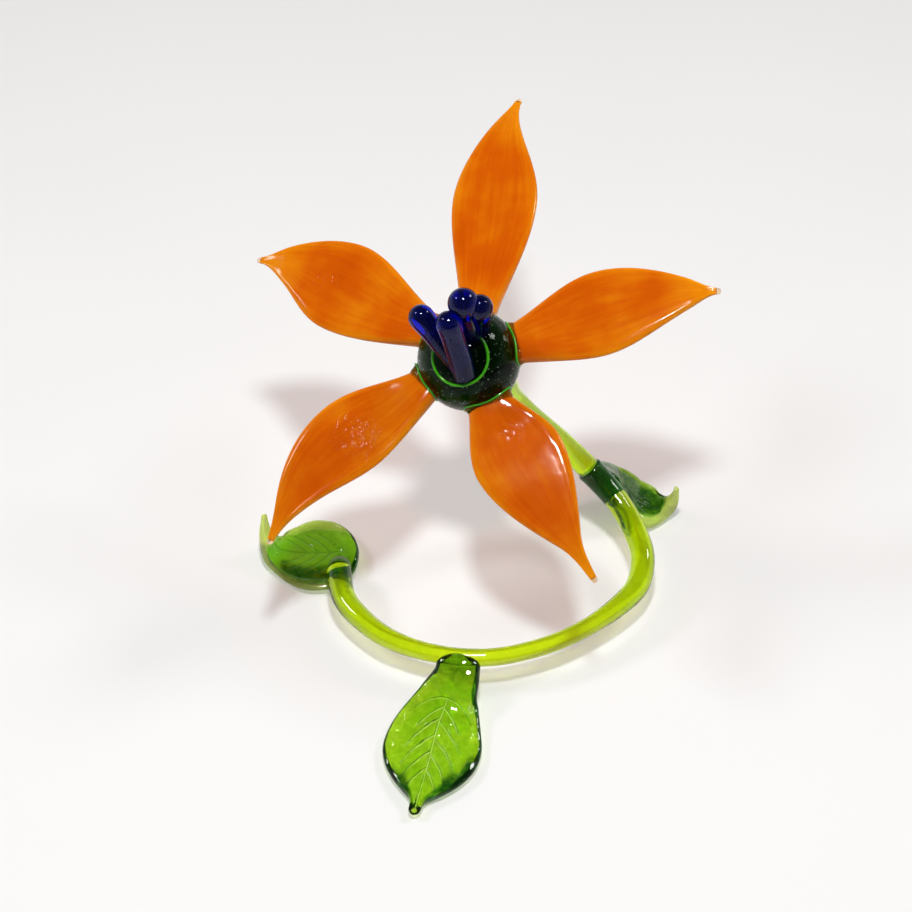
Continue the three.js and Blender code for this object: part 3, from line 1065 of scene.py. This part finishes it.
@dataclass
class Petal:
    """One pressed petal, drawn out to a tip with a small clear bead, and its green collar.

    panel is how far the paddle sank the upper face, and panel_edge, panel_root and panel_tip are
    the shares over which that fades. The bright line at the root is a painted gleam, a thin ring of
    bright green glass where light gleams at the collar's edge, and its field gives its radius;
    chill
    is the wrinkled patch: share along, offset, radius and strength.
    """

    name: str
    turn: float
    lift: float
    reach: float
    width: float
    widest_at: float
    neck_width: float
    drawn_length: float
    drawn_width: float
    bow: float
    bow_at: float
    swing: float
    panel: float = 0.2
    chill: tuple[float, float, float, float] = (0.55, 0.1, 5.0, 0.5)
    ball_radius: float = 12.3
    thickness: float = 3.6
    neck_thickness: float = 6.0
    tip: float = 1.5
    arch: float = 1.4
    dish: float = 0.6
    sink: float = 2.5
    seam: float = 0.32
    under_panel: float = 0.1
    panel_edge: Pair = (0.7, 0.86)
    panel_root: Pair = (0.1, 0.2)
    panel_tip: Pair = (0.74, 0.95)
    swell: float = 0.16
    swell_size: float = 9.0
    wrinkle: float = 0.09
    wrinkle_size: float = 0.9

    def spine(self) -> Spine:
        """Middle line from inside the ball to the tip, in the bloom frame."""
        outward = direction(90 - self.lift, self.turn)
        sideways = direction(90, self.turn + 90)
        face = outward.cross(sideways)
        root = self.ball_radius - self.sink
        free = self.reach - self.ball_radius
        skew = math.log(0.5) / math.log((self.bow_at - self.ball_radius) / free)
        points, steps = [], 300
        for i in range(steps + 1):
            out = root + i / steps * (self.reach - root)
            share = max((out - self.ball_radius) / free, 0)
            side = self.swing * (1 - share) ** 2 + self.bow * math.sin(math.pi * share**skew)
            rise = self.arch * math.sin(math.pi * share)
            points.append(outward * out + sideways * side + face * rise)
        return Spine(points)

    def blade(self) -> Blade:
        """The petal's pressed blade."""
        spine = self.spine()
        root = self.ball_radius - self.sink
        widest, drawn = self.widest_at - root, spine.length - self.drawn_length
        opening = (self.width - self.neck_width) / (widest - self.sink)
        closing = (self.drawn_width - self.width) / (drawn - widest)
        tip = spine.length - self.tip / 2
        width = smooth_run([
            (self.sink, self.neck_width, opening), (widest, self.width, 0),
            (drawn, self.drawn_width, 1.5 * closing), (tip, self.tip, -0.2),
        ])
        thickness = smooth_run([
            (self.sink, self.neck_thickness, 0), (widest * 0.7, self.thickness, 0),
            (drawn, self.thickness * 0.95, -0.05), (tip, self.tip, -0.02),
        ])
        sideways = direction(90, self.turn + 90)

        def press(place: float, x: float, upper: bool) -> float:
            """How far the paddle pressed the face in here, with its chill wrinkles."""
            share = place / spine.length
            inner = 1 - ease(*self.panel_edge, abs(x))
            inner = inner * ease(*self.panel_root, share) * (1 - ease(*self.panel_tip, share))
            spot = Vector((place, x * width(place) / 2, self.turn))
            swell = noise.noise(spot / self.swell_size) * self.swell
            if not upper:
                return self.under_panel * inner + swell
            slanted = Vector((spot.x + 0.6 * spot.y, 0.45 * spot.y, spot.z))
            marks = noise.noise(slanted / self.wrinkle_size) * self.wrinkle * chilled(share, x)
            return self.panel * inner + swell + marks

        def chilled(share: float, x: float) -> float:
            """How much the cold paddle wrinkled the face here."""
            at, offset, radius, strength = self.chill
            along = share * spine.length
            near = math.hypot(along - at * spine.length, x * width(along) / 2 - offset)
            return strength * (1 - ease(0.3, 1, near / radius))

        return Blade(
            spine, lambda share: sideways.copy(), width, thickness, self.tip, self.dish,
            press=press, traits={CHILL: chilled},
        )

    def build(
        self, bench: Bench, opal: Finish, bead: Finish, collar: Finish, bright: Finish
    ) -> None:
        """Builds and dresses the petal, its bead, its collar and the painted gleam ring round its
        root.

        Args:
            bench: the frames and the recipes.
            opal: the petal's glass.
            bead: the tip bead's glass.
            collar: the ball's glass, where it wets the petal's neck.
            bright: the thin glass of the painted gleam ring.
        """
        blade, bloom = self.blade(), bench.places.bloom
        spine = blade.spine
        blade.end = spine.length - self.tip * 0.62
        settle(blade.skin(f"{self.name}_pressed", bloom), Slot.PETAL, opal, self.name)
        drop = self.bead_line(spine)
        bench.pull(f"{self.name}_bead", Slot.PETAL, bead, *drop, bloom, sides=32)
        swelling = smooth_run([
            (0.2, 0.6, -0.1), (self.sink - 0.8, 0.35, -0.15), (self.sink + 0.9, -0.12, -0.1),
        ])
        wet = Blade(
            spine, blade.across, blade.width, blade.thickness, self.tip, blade.dish, grow=swelling,
            start=0.2, end=self.sink + 0.9, rings=20,
        )
        settle(wet.skin(f"{self.name}_collar", bloom), Slot.CENTRE, collar)
        # Painted gleam: a thin ring of bright green glass where the collar leaves the ball,
        # standing in for light that gleams there.
        seam = [self.meeting(wet, x, y) for x, y in wet.section()]
        ring = (seam, [self.seam] * len(seam))
        bench.pull(
            f"{self.name}_seam", Slot.CENTRE, bright, *ring, bloom, closed=True, sides=12
        )

    def bead_line(self, spine: Spine) -> tuple[list[Vector], list[float]]:
        """Points and radii of the little drop at the tip, slightly longer than wide."""
        size, steps = self.tip / 2 * 1.02, 24
        line, radii = [], []
        for i in range(steps + 1):
            angle = math.pi * (0.03 + 0.94 * i / steps)
            line.append(spine.at(spine.length - size - size * math.cos(angle) * 1.05))
            radii.append(size * math.sin(angle))
        return line, radii

    def meeting(self, blade: Blade, x: float, y: float) -> Vector:
        """The point where this line along the blade's skin leaves the ball."""
        low, high = blade.start, self.sink + 2
        for _ in range(24):
            middle = (low + high) / 2
            inside = blade.spot(middle, x, y).length < self.ball_radius
            low, high = (middle, high) if inside else (low, middle)
        return blade.spot(low, x, y)


PETALS = (
    Petal(
        "petal_top", 77.3, -8.2, 75.7, 20.9, 43.5, 8.6, 9, 6.8, 1.9, 61, -0.1,
        chill=(0.85, 0.0, 4.0, 0.8),
    ),
    Petal(
        "petal_right", 6.7, 3.1, 61.5, 21.5, 33, 10.2, 8, 8.2, 2, 42, 0.6,
        chill=(0.5, -3.0, 4.0, 0.4),
    ),
    Petal(
        "petal_lower_right", -66.6, -9.8, 61.5, 21.9, 27, 11, 11.5, 6.2, -1, 30, -0.8,
        panel=0.14, chill=(0.22, 1.0, 4.0, 0.35),
    ),
    Petal(
        "petal_lower_left", -143, -2.9, 64.4, 19.9, 33, 9, 9.5, 6.4, -5.2, 42, -2.8,
        panel=-0.42, chill=(0.4, 1.0, 9.0, 1.0),
    ),
    Petal(
        "petal_left", 145.7, -1.1, 60.9, 23, 36.5, 8.8, 8, 9.4, -2.8, 46, -2.2,
        chill=(0.6, 0.0, 6.0, 0.5),
    ),
)


@dataclass
class Stamen:
    """One short cobalt cane with a melted round end."""

    name: str
    foot: float
    foot_turn: float
    lean: float
    lean_turn: float
    length: float
    end_diameter: float
    diameter: float = 5.7
    ball_radius: float = 12.3
    sink: float = 3.0
    steps: int = 40
    end_steps: int = 16

    def build(self, bench: Bench, glass: Finish) -> None:
        """Builds and dresses the stamen.

        Args:
            bench: the frames and the recipes.
            glass: its glass.
        """
        lean = direction(self.lean, self.lean_turn)
        start = direction(self.foot, self.foot_turn) * self.ball_radius - lean * self.sink
        length, end = self.length + self.sink, self.end_diameter / 2
        radius = smooth_run([
            (0, self.diameter / 2, 0), (length * 0.6, self.diameter / 2, 0), (length - end, end, 0),
        ])
        at = [(length - end) * i / self.steps for i in range(self.steps + 1)]
        at += [length - end + end * math.sin(turn) for turn in end_turns(self.end_steps)]
        line = [start + lean * a for a in at]
        radii = [radius(a) * dome(a, length, end) for a in at]
        bloom = bench.places.bloom
        bench.pull(f"{self.name}_cane", Slot.STAMEN, glass, line, radii, bloom, self.name)


STAMENS = (
    Stamen("stamen_front", 28.6, -93, 25.8, 96, 15.9, 6.2),
    Stamen("stamen_left", 21, -114, 52, 127, 15.4, 6.2),
    Stamen("stamen_back", 12.5, 35, 10.5, 66, 15.8, 7.3),
    Stamen("stamen_right", 24.7, 34, 11.8, -2, 14.2, 6.3),
)


@dataclass
class Stem:
    """The rod: a level ring, open at the back, that rises on the right to the ball.

    ring_plan is its plan at ring_height, and rise_plan goes on with each point's share of the
    climb to the ball. weld is the stretch that the right leaf's dark glass takes, and
    neck_points lead from the left leaf to the rod's free end.
    """

    ball_height: float = 61.0
    ball_radius: float = 12.3
    ring_height: float = 8.4
    ring_plan: tuple[Pair, ...] = (
        (-31.9, -20.8), (-30.4, -29.4), (-26.8, -35.2), (-19.8, -41.9), (-9.3, -46.6),
        (4.5, -48.1), (17.1, -45), (26.8, -40), (36.2, -32.3), (41.4, -25.4),
    )
    rise_plan: tuple[Triple, ...] = (
        (42.9, -17.8, 0.04), (41.3, -10.7, 0.07), (37.7, -3.6, 0.125), (32, 2.2, 0.215),
        (23.1, 4.6, 0.44), (14.4, 3.1, 0.72),
    )
    seat_turn: float = 15
    seat_drop: float = 55
    seat_reach: float = 0.4
    end_diameter: float = 6.0
    front_diameter: float = 4.3
    rise_diameter: float = 5.9
    flare_diameter: float = 9.6
    thin_from: float = 0.25
    thin_to: float = 0.42
    rise_place: float = 0.57
    flare_length: float = 8.0
    melted_in: float = 2.0
    waver: float = 0.012
    waver_length: float = 14.0
    step: float = 0.42
    sides: int = 56
    weld: Pair = (0.691, 0.749)
    weld_swell: Pair = (0.15, 0.5)
    weld_edge: float = 0.06
    neck_points: tuple[Triple, ...] = ((-0.3, 4.4, -6.6), (0.0, 3.7, -3.6), (0.1, 2.1, -1.1))
    neck_end: float = 2.3

    def spine(self) -> Spine:
        """The rod's middle line from its free end to inside the ball, in the ground frame."""
        centre = Vector((0, 0, self.ball_height))
        seat = centre + direction(90 + self.seat_drop, self.seat_turn) * self.ball_radius
        climb = seat.z - self.ring_height
        return Spine.through([
            *(Vector((x, y, self.ring_height)) for x, y in self.ring_plan),
            *(Vector((x, y, self.ring_height + share * climb)) for x, y, share in self.rise_plan),
            seat, seat.lerp(centre, self.seat_reach),
        ])

    def radius(self, spine: Spine) -> Run:
        """The rod's radius along its middle line: thinnest in front, flared at the ball."""
        length = spine.length
        seat = length - self.seat_reach * self.ball_radius
        return smooth_run([
            (0, self.end_diameter / 2, 0), (self.thin_from * length, self.front_diameter / 2, 0),
            (self.thin_to * length, self.front_diameter / 2, 0),
            (self.rise_place * length, self.rise_diameter / 2, 0),
            (seat - self.flare_length, self.rise_diameter / 2, 0),
            (seat, self.flare_diameter / 2, 0.2), (length, self.flare_diameter / 2, 0),
        ])

    def build(self, bench: Bench, glass: Finish, dark: Finish, leaf: Finish) -> Spine:
        """Builds and dresses the rod, its weld band and the left leaf's neck.

        Args:
            bench: the frames and the recipes.
            glass: the rod's glass.
            dark: the dark glass that is melted on where the right leaf joins it.
            leaf: the left leaf's glass, drawn out to the rod's free end.

        Returns:
            Its middle line.
        """
        spine, ground = self.spine(), bench.places.ground
        length, radius = spine.length, self.radius(spine)
        low, high = (share * length for share in self.weld)
        inside = length - self.seat_reach * self.ball_radius + self.melted_in
        parts = (("stem_rod", 0.0, low, "stem"), ("stem_rod_upper", high, inside))
        for name, start, stop, *nodes in parts:
            steps = max(round((stop - start) / self.step), 2)
            at = [start + (stop - start) * i / steps for i in range(steps + 1)]
            waves = (noise.noise(Vector((a / self.waver_length, 0, 0))) for a in at)
            radii = [radius(a) * (1 + self.waver * wave) for a, wave in zip(at, waves)]
            line = [spine.at(a) for a in at]
            bench.pull(name, Slot.STEM, glass, line, radii, ground, *nodes, sides=self.sides)
        band, neck = self.weld_line(spine), self.neck_line(spine)
        bench.pull("leaf_right_weld", Slot.LEAF, dark, *band, ground, sides=self.sides)
        bench.pull("leaf_left_neck", Slot.LEAF, leaf, *neck, ground, sides=self.sides)
        return spine

    def weld_line(self, spine: Spine) -> tuple[list[Vector], list[float]]:
        """Points and radii of the dark glass where the right leaf is welded on."""
        radius, steps = self.radius(spine), 60
        low, high = (share * spine.length for share in self.weld)
        first, last = self.weld_swell
        line, radii = [], []
        for i in range(steps + 1):
            share = i / steps
            place = low + (high - low) * share
            rounded = min(min(share, 1 - share) / self.weld_edge, 1) ** 0.5
            line.append(spine.at(place))
            radii.append(radius(place) + (first + (last - first) * share) * rounded)
        return line, radii

    def neck_line(self, spine: Spine) -> tuple[list[Vector], list[float]]:
        """Points and radii of the left leaf's neck, up to the rod's free end."""
        start, fine = spine.at(0), 40
        knots = [*(start + Vector(p) for p in self.neck_points), start, spine.at(4), spine.at(8)]
        count = len(self.neck_points) * fine
        line = Spine.through(knots, fine).points[: count + 1]
        widening = self.end_diameter / 2 - self.neck_end
        radii = [self.neck_end + widening * ease(0, 1, i / count) for i in range(count + 1)]
        return line, radii


@dataclass
class Leaf:
    """One leaf: its neck is welded round the rod, and its underside is pressed flat.

    bend and blade_points are points of its middle line out from the rod's axis. bend's heights
    count from that axis, and the blade's from the leaf's own rest height. midrib is the share of
    the leaf that the midrib covers, veins are (place along, side, length, degrees from the
    midrib), and arch is the half width and the length of the curved line over the midrib's foot.
    The dark patches are painted shade, where the glass colour is painted darker as if shaded, and
    thin_ends are patches of pale glass. folds are the size and the depth of the fine crinkle in the
    panel, of the crinkle all over and of the broad swell.
    """

    name: str
    place: float
    width: float
    neck_width: float
    neck_thickness: float
    neck_length: float
    widest_at: float
    drawn_length: float
    drawn_width: float
    tip: float
    base: float
    bend: tuple[Triple, ...]
    blade_points: tuple[Triple, ...]
    midrib: Pair
    veins: tuple[tuple[float, float, float, float], ...]
    # Patches of painted shade, where the leaf's colour is painted darker as if shaded.
    painted_shade_patches: tuple[Patch, ...]
    thin_ends: tuple[Patch, ...] = ()
    arch: Pair = (0.0, 0.0)
    groove: float = 0.6
    groove_width: float = 0.5
    crinkle: float = 1.0
    fullness: float = 1.4
    thickness: float = 4.0
    tip_thickness: float = 1.2
    sunk: float = 0.5
    dish: float = 0.5
    curl: float = 0.66
    panel: float = 0.6
    panel_edge: Pair = (0.74, 0.84)
    folds: tuple[Pair, Pair, Pair] = ((1.3, 0.14), (2.4, 0.26), (7.0, 0.22))

    def blade(self, rod: Spine) -> Blade:
        """The leaf's blade, in the ground frame."""
        root = rod.at(self.place * rod.length)
        rest = self.thickness / 2 - self.sunk
        spine = Spine.through([
            *(root + Vector(p) for p in self.bend),
            *(Vector((root.x + x, root.y + y, rest + z)) for x, y, z in self.blade_points),
        ])
        length = spine.length
        drawn, tip = length - self.drawn_length, length - self.tip / 2
        opening = (self.width - self.neck_width) / (self.widest_at - self.neck_length)
        closing = (self.drawn_width - self.width) / (drawn - self.widest_at)
        width = smooth_run([
            (0, self.neck_width, 0), (self.neck_length, self.neck_width, 0.8 * opening),
            (self.widest_at, self.width, 0), (drawn, self.drawn_width, self.fullness * closing),
            (tip, self.tip, -0.2),
        ])
        thickness = smooth_run([
            (0, self.neck_thickness, 0), (self.widest_at * 0.6, self.thickness, 0),
            (drawn, self.thickness, 0), (tip, self.tip_thickness, -0.1),
        ])

        def press(place: float, x: float, upper: bool) -> float:
            """How far the press sank its panel into the upper face here."""
            if not upper:
                return 0.0
            share = place / length
            start, stop = self.midrib
            inner = ease(start - 0.06, start - 0.01, share) * (1 - ease(stop - 0.12, stop, share))
            inner *= 1 - ease(*self.panel_edge, abs(x))
            spot = Vector((place, x * width(place) / 2, self.place * 40))
            fine, middle, broad = (noise.noise(spot / size) * deep for size, deep in self.folds)
            return self.panel * inner + self.crinkle * (fine * inner + middle) + broad

        def across(share: float) -> Vector:
            """Sideways direction, which stays as it is where the tip curls up."""
            return Vector((0, 0, 1)).cross(spine.along(min(share, self.curl) * length))

        return Blade(
            spine, across, width, thickness, self.tip, self.dish, self.base, press=press,
            rings=290, above=216, below=84, under=1.15,
            traits={PAINTED_SHADE: patches(self.painted_shade_patches), PALE: patches(self.thin_ends)},
        )

    def vein_runs(self, length: float) -> list[list[Pair]]:
        """Lines of the midrib, the side veins and the arch, as places along and offsets."""
        first, last = (share * length for share in self.midrib)
        runs = [[(first + (last - first) * i / 40, 0.0) for i in range(41)]]
        for at, side, reach, angle in self.veins:
            bends = [(reach * i / 20, math.radians(angle - 14 * i / 20)) for i in range(21)]
            runs.append([
                (at + out * math.cos(bend), side * out * math.sin(bend)) for out, bend in bends
            ])
        if self.arch[0]:
            steps = [i / 12 - 1 for i in range(25)]
            runs.append([(first + self.arch[1] * t * t, self.arch[0] * t) for t in steps])
        return runs

    def vein_lines(self, blade: Blade, place: Matrix) -> Piece:
        """Lays the veins as edges on the blade's upper face.

        Args:
            blade: the leaf's blade.
            place: turns millimetres into metres.

        Returns:
            An object of edges only.
        """
        points: list[Vector] = []
        edges: list[tuple[int, int]] = []
        for run in self.vein_runs(blade.spine.length):
            for i, (at, off) in enumerate(run):
                x = min(max(off / (blade.width(at) / 2), -0.8), 0.8)
                if i:
                    edges.append((len(points) - 1, len(points)))
                points.append(place @ blade.spot(at, x, math.sqrt(1 - x * x)))
        mesh = bpy.data.meshes.new(f"{self.name}_veins")
        mesh.from_pydata(points, edges, [])
        return hang_up(f"{self.name}_veins", mesh)

    def build(self, rod: Spine, bench: Bench, glass: Finish) -> None:
        """Builds and dresses the leaf.

        Args:
            rod: the rod's middle line.
            bench: the frames and the recipes.
            glass: its glass.
        """
        blade, ground = self.blade(rod), bench.places.ground
        piece = blade.skin(f"{self.name}_pressed", ground, floor=0.0)
        veins = self.vein_lines(blade, ground)
        depth, width = self.groove * MM, self.groove_width * MM
        bench.press.keep(piece, Veins=veins, Depth=depth, Width=width, Finish=glass)
        bpy.data.objects.remove(veins)
        settle(piece, Slot.LEAF, None, self.name)


LEAVES = (
    Leaf(
        "leaf_front", 0.251, 23.3, 11, 5.6, 4.4, 25.5, 5, 6, 2.9, 3.0,
        bend=((0, 0.2, 0.7), (-0.7, -4.2, -1.7), (-2.7, -8.6, -5.2)),
        blade_points=((-5.4, -17, 0), (-7.3, -26.5, 0), (-9, -34, 0), (-10.8, -41.2, 0.3)),
        midrib=(0.25, 0.96),
        veins=(
            (14, 1, 8, 54), (18, 1, 11, 52), (23, 1, 11, 48), (28, 1, 9, 46), (32.5, 1, 6, 44),
            (13.5, -1, 8, 50), (17, -1, 11, 48), (21.5, -1, 12, 46), (26.5, -1, 11, 44),
            (31.5, -1, 7, 42),
        ),
        painted_shade_patches=(
            (0.7, 0.93, 0.5, 1.2, 1), (0.6, 0.75, 0.74, 1.2, 1), (0.76, 0.93, -1.2, -0.5, 1),
            (0.05, 0.1, -1.2, 1.2, 0.8),
        ),
        arch=(7.6, 5.5), fullness=2.2,
    ),
    Leaf(
        "leaf_left", 0, 23, 20, 4.4, 1, 11, 9, 8, 1.8, 7,
        bend=(),
        blade_points=(
            (4.4, 11.6, 1.6), (-2, 10.8, 0.2), (-7, 10.8, 0), (-12.8, 11.3, 0), (-16.8, 12.2, 1),
            (-18.6, 13.8, 4.4), (-19, 15.6, 10.2),
        ),
        midrib=(0.14, 0.72),
        veins=tuple(
            (at, side, reach, angle)
            for side in (1, -1)
            for at, reach, angle in ((4, 9, 58), (7, 9, 54), (10, 9, 50), (13, 7, 46))
        ),
        painted_shade_patches=((0.08, 0.6, 0.36, 0.82, 0.9),),
        thin_ends=(
            (0.76, 1.2, -1.2, 1.2, 1), (0.06, 0.8, -1.2, -0.7, 0.45), (0.1, 0.8, 0.88, 1.3, 0.5),
        ),
        groove=0.2, crinkle=0.3,
    ),
    Leaf(
        "leaf_right", 0.729, 14.6, 10.2, 5.2, 4, 20, 9.5, 8, 1.8, 3.0,
        bend=((0.4, 1.6, -1.6), (2.2, 4, -3.8), (6, 5.2, -8.6)),
        blade_points=(
            (10, 4.6, 2.1), (13, 4, 0.4), (15.8, 3.6, 0), (18.2, 3.4, 1.2), (19.7, 3, 4.8),
            (20.2, 2.4, 9.4),
        ),
        midrib=(0.3, 0.8),
        veins=((12, 1, 6, 50), (16, 1, 5, 46), (12, -1, 6, 50), (16, -1, 5, 46)),
        painted_shade_patches=((0.1, 0.8, -0.25, 0.8, 0.9),),
        thin_ends=((0.8, 1.2, -1.2, 1.2, 1), (0.3, 1.2, -1.2, -0.55, 0.8)),
        groove=0.2, crinkle=0.25,
    ),
)


@dataclass
class Studio:
    """Pale paper floor, soft lamps over it, a pale room and the camera.

    Each lamp is a name, a size, a power and a place in metres, and points at the object from
    there. glow is the share of the floor that is painted light: a glow for camera, glossy and
    transmission rays, whatever the lamps do, which lightens the cast shadows on the floor and
    runs from the near to the far colour as a painted fall-off, brighter near the camera.
    """

    floor_size: float = 6.0
    floor_drop: float = 0.15
    lamps: tuple[tuple[str, float, float, Triple], ...] = (
        ("soft_lamp", 0.08, 2.8, (-0.0003, -0.135, 0.679)),
        ("left_lamp", 0.25, 2.8, (-0.75, 0.15, 0.75)),
        ("right_lamp", 0.25, 2.8, (0.7, 0.35, 0.75)),
    )
    zenith: str = "464545"
    wall: str = "8c8b8b"
    horizon: str = WHITE
    front: str = "565655"
    # Colours of the painted fall-off on the floor, near the camera and far from it.
    near: str = "fffefd"
    far: str = "dcdad8"
    painted_falloff: Pair = (-0.1, 0.28)
    front_fade: Pair = (-0.75, 0.1)
    lamps_aim: float = 0.03
    paper: tuple[str, str] = ("f6f5f4", "faf9f8")
    glow: float = 0.3
    elevation: float = 47.0
    distance: float = 0.7
    aim: Triple = (-0.00619, 0.03416, 0.0)
    lens: float = 106.27

    def floor(self) -> None:
        """Lays the paper floor, which isn't part of the object."""
        half, low = self.floor_size / 2, -self.floor_drop * MM
        mesh = bpy.data.meshes.new("paper_floor")
        corners = [(-half, -half, low), (half, -half, low), (half, half, low), (-half, half, low)]
        mesh.from_pydata(corners, [], [(0, 1, 2, 3)])
        made = hang_up("paper_floor", mesh)
        paper, tree, place = new_finish("White backdrop paper")
        grain = wander(tree, place, 60, 3.0)
        shader = add_node(
            tree, "ShaderNodeBsdfPrincipled",
            {
                "Base Color": grade(tree, grain, ((0.0, self.paper[0]), (1.0, self.paper[1]))),
                "Roughness": 0.9, "Specular IOR Level": 0.1,
            },
        )
        # Painted light: a glow mixed into the floor for camera, glossy and transmission rays
        # lightens its cast shadows, and runs from the near to the far colour as a painted fall-off.
        across = add_node(tree, "ShaderNodeSeparateXYZ", {0: place}).outputs[1]
        away = remap(tree, across, self.painted_falloff)
        painted_falloff = blend(tree, away, self.near, self.far)
        white = add_node(tree, "ShaderNodeEmission", {"Color": painted_falloff, "Strength": 1.0})
        rays = add_node(tree, "ShaderNodeLightPath").outputs
        seen = rays["Is Camera Ray"]
        for name in ("Is Glossy Ray", "Is Transmission Ray"):
            seen = sums(tree, "MAXIMUM", seen, rays[name])
        share = sums(tree, "MULTIPLY", seen, self.glow)
        whole = add_node(
            tree, "ShaderNodeMixShader", {0: share, 1: shader.outputs[0], 2: white.outputs[0]}
        )
        add_node(tree, "ShaderNodeOutputMaterial", {"Surface": whole.outputs[0]})
        mesh.materials.append(paper)

    def room(self) -> None:
        """Lights the room: pale at eye level, and dimmer overhead and in front."""
        world = bpy.data.worlds.new("Pale room")
        bpy.context.scene.world = world
        world.use_nodes = True
        tree = world.node_tree
        tree.nodes.clear()
        way = add_node(tree, "ShaderNodeTexCoord").outputs["Generated"]
        parts = add_node(tree, "ShaderNodeSeparateXYZ", {0: way}).outputs
        bands = grade(tree, parts[2], ((0.05, self.horizon), (0.3, self.wall), (0.8, self.zenith)))
        facing = remap(tree, parts[1], self.front_fade)
        dimmed = blend(tree, facing, self.front, bands)
        back = add_node(tree, "ShaderNodeBackground", {"Color": dimmed, "Strength": 1.0})
        add_node(tree, "ShaderNodeOutputWorld", {"Surface": back.outputs[0]})

    def lights(self) -> None:
        """Hangs the soft lamps, which glass mirrors but doesn't show through itself."""
        target = Vector((self.aim[0], self.aim[1], self.lamps_aim))
        for name, size, watts, place in self.lamps:
            data = bpy.data.lights.new(name, "AREA")
            data.shape = "DISK"
            data.size = size
            data.energy = watts
            made = hang_up(name, data)
            made.location = place
            made.visible_transmission = False
            made.rotation_euler = (target - made.location).to_track_quat("-Z", "Y").to_euler()

    def camera(self) -> None:
        """Sets the camera at the photograph's angle."""
        data = bpy.data.cameras.new("camera")
        data.sensor_width = 36.0
        data.lens = self.lens
        data.clip_end = 20.0
        made = hang_up("camera", data)
        tilt = math.radians(self.elevation)
        back = Vector((0, -math.cos(tilt), math.sin(tilt))) * self.distance
        made.location = Vector(self.aim) + back
        made.rotation_euler = (math.pi / 2 - tilt, 0, 0)
        bpy.context.scene.camera = made

    def build(self) -> None:
        """Builds the floor, the room, its lamps and the camera."""
        self.floor()
        self.room()
        self.lights()
        self.camera()


def main() -> None:
    """Builds the flower piece by piece, then the room."""
    logging.basicConfig(level=logging.INFO, format="%(name)s %(message)s")
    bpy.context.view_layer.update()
    bpy.context.scene.view_settings.view_transform = "Standard"
    bench = Bench()
    emerald, bright = EMERALD.build(), RIM_GREEN.build()
    Centre().build(bench, emerald, bright, PaintedBubbleGlint().build())
    opal, amber = ORANGE_OPAL.build(), AMBER.build()
    for petal in PETALS:
        petal.build(bench, opal, amber, emerald, bright)
    cobalt = COBALT.build()
    for stamen in STAMENS:
        stamen.build(bench, cobalt)
    light, dark = LEAF_GREEN.build(), LEAF_DARK.build()
    rod = Stem().build(bench, LIME.build(), WELD_GREEN.build(), NECK_GREEN.build())
    for leaf, glass in zip(LEAVES, (light, dark, dark)):
        leaf.build(rod, bench, glass)
    Studio().build()


if __name__ == "__main__":
    main()
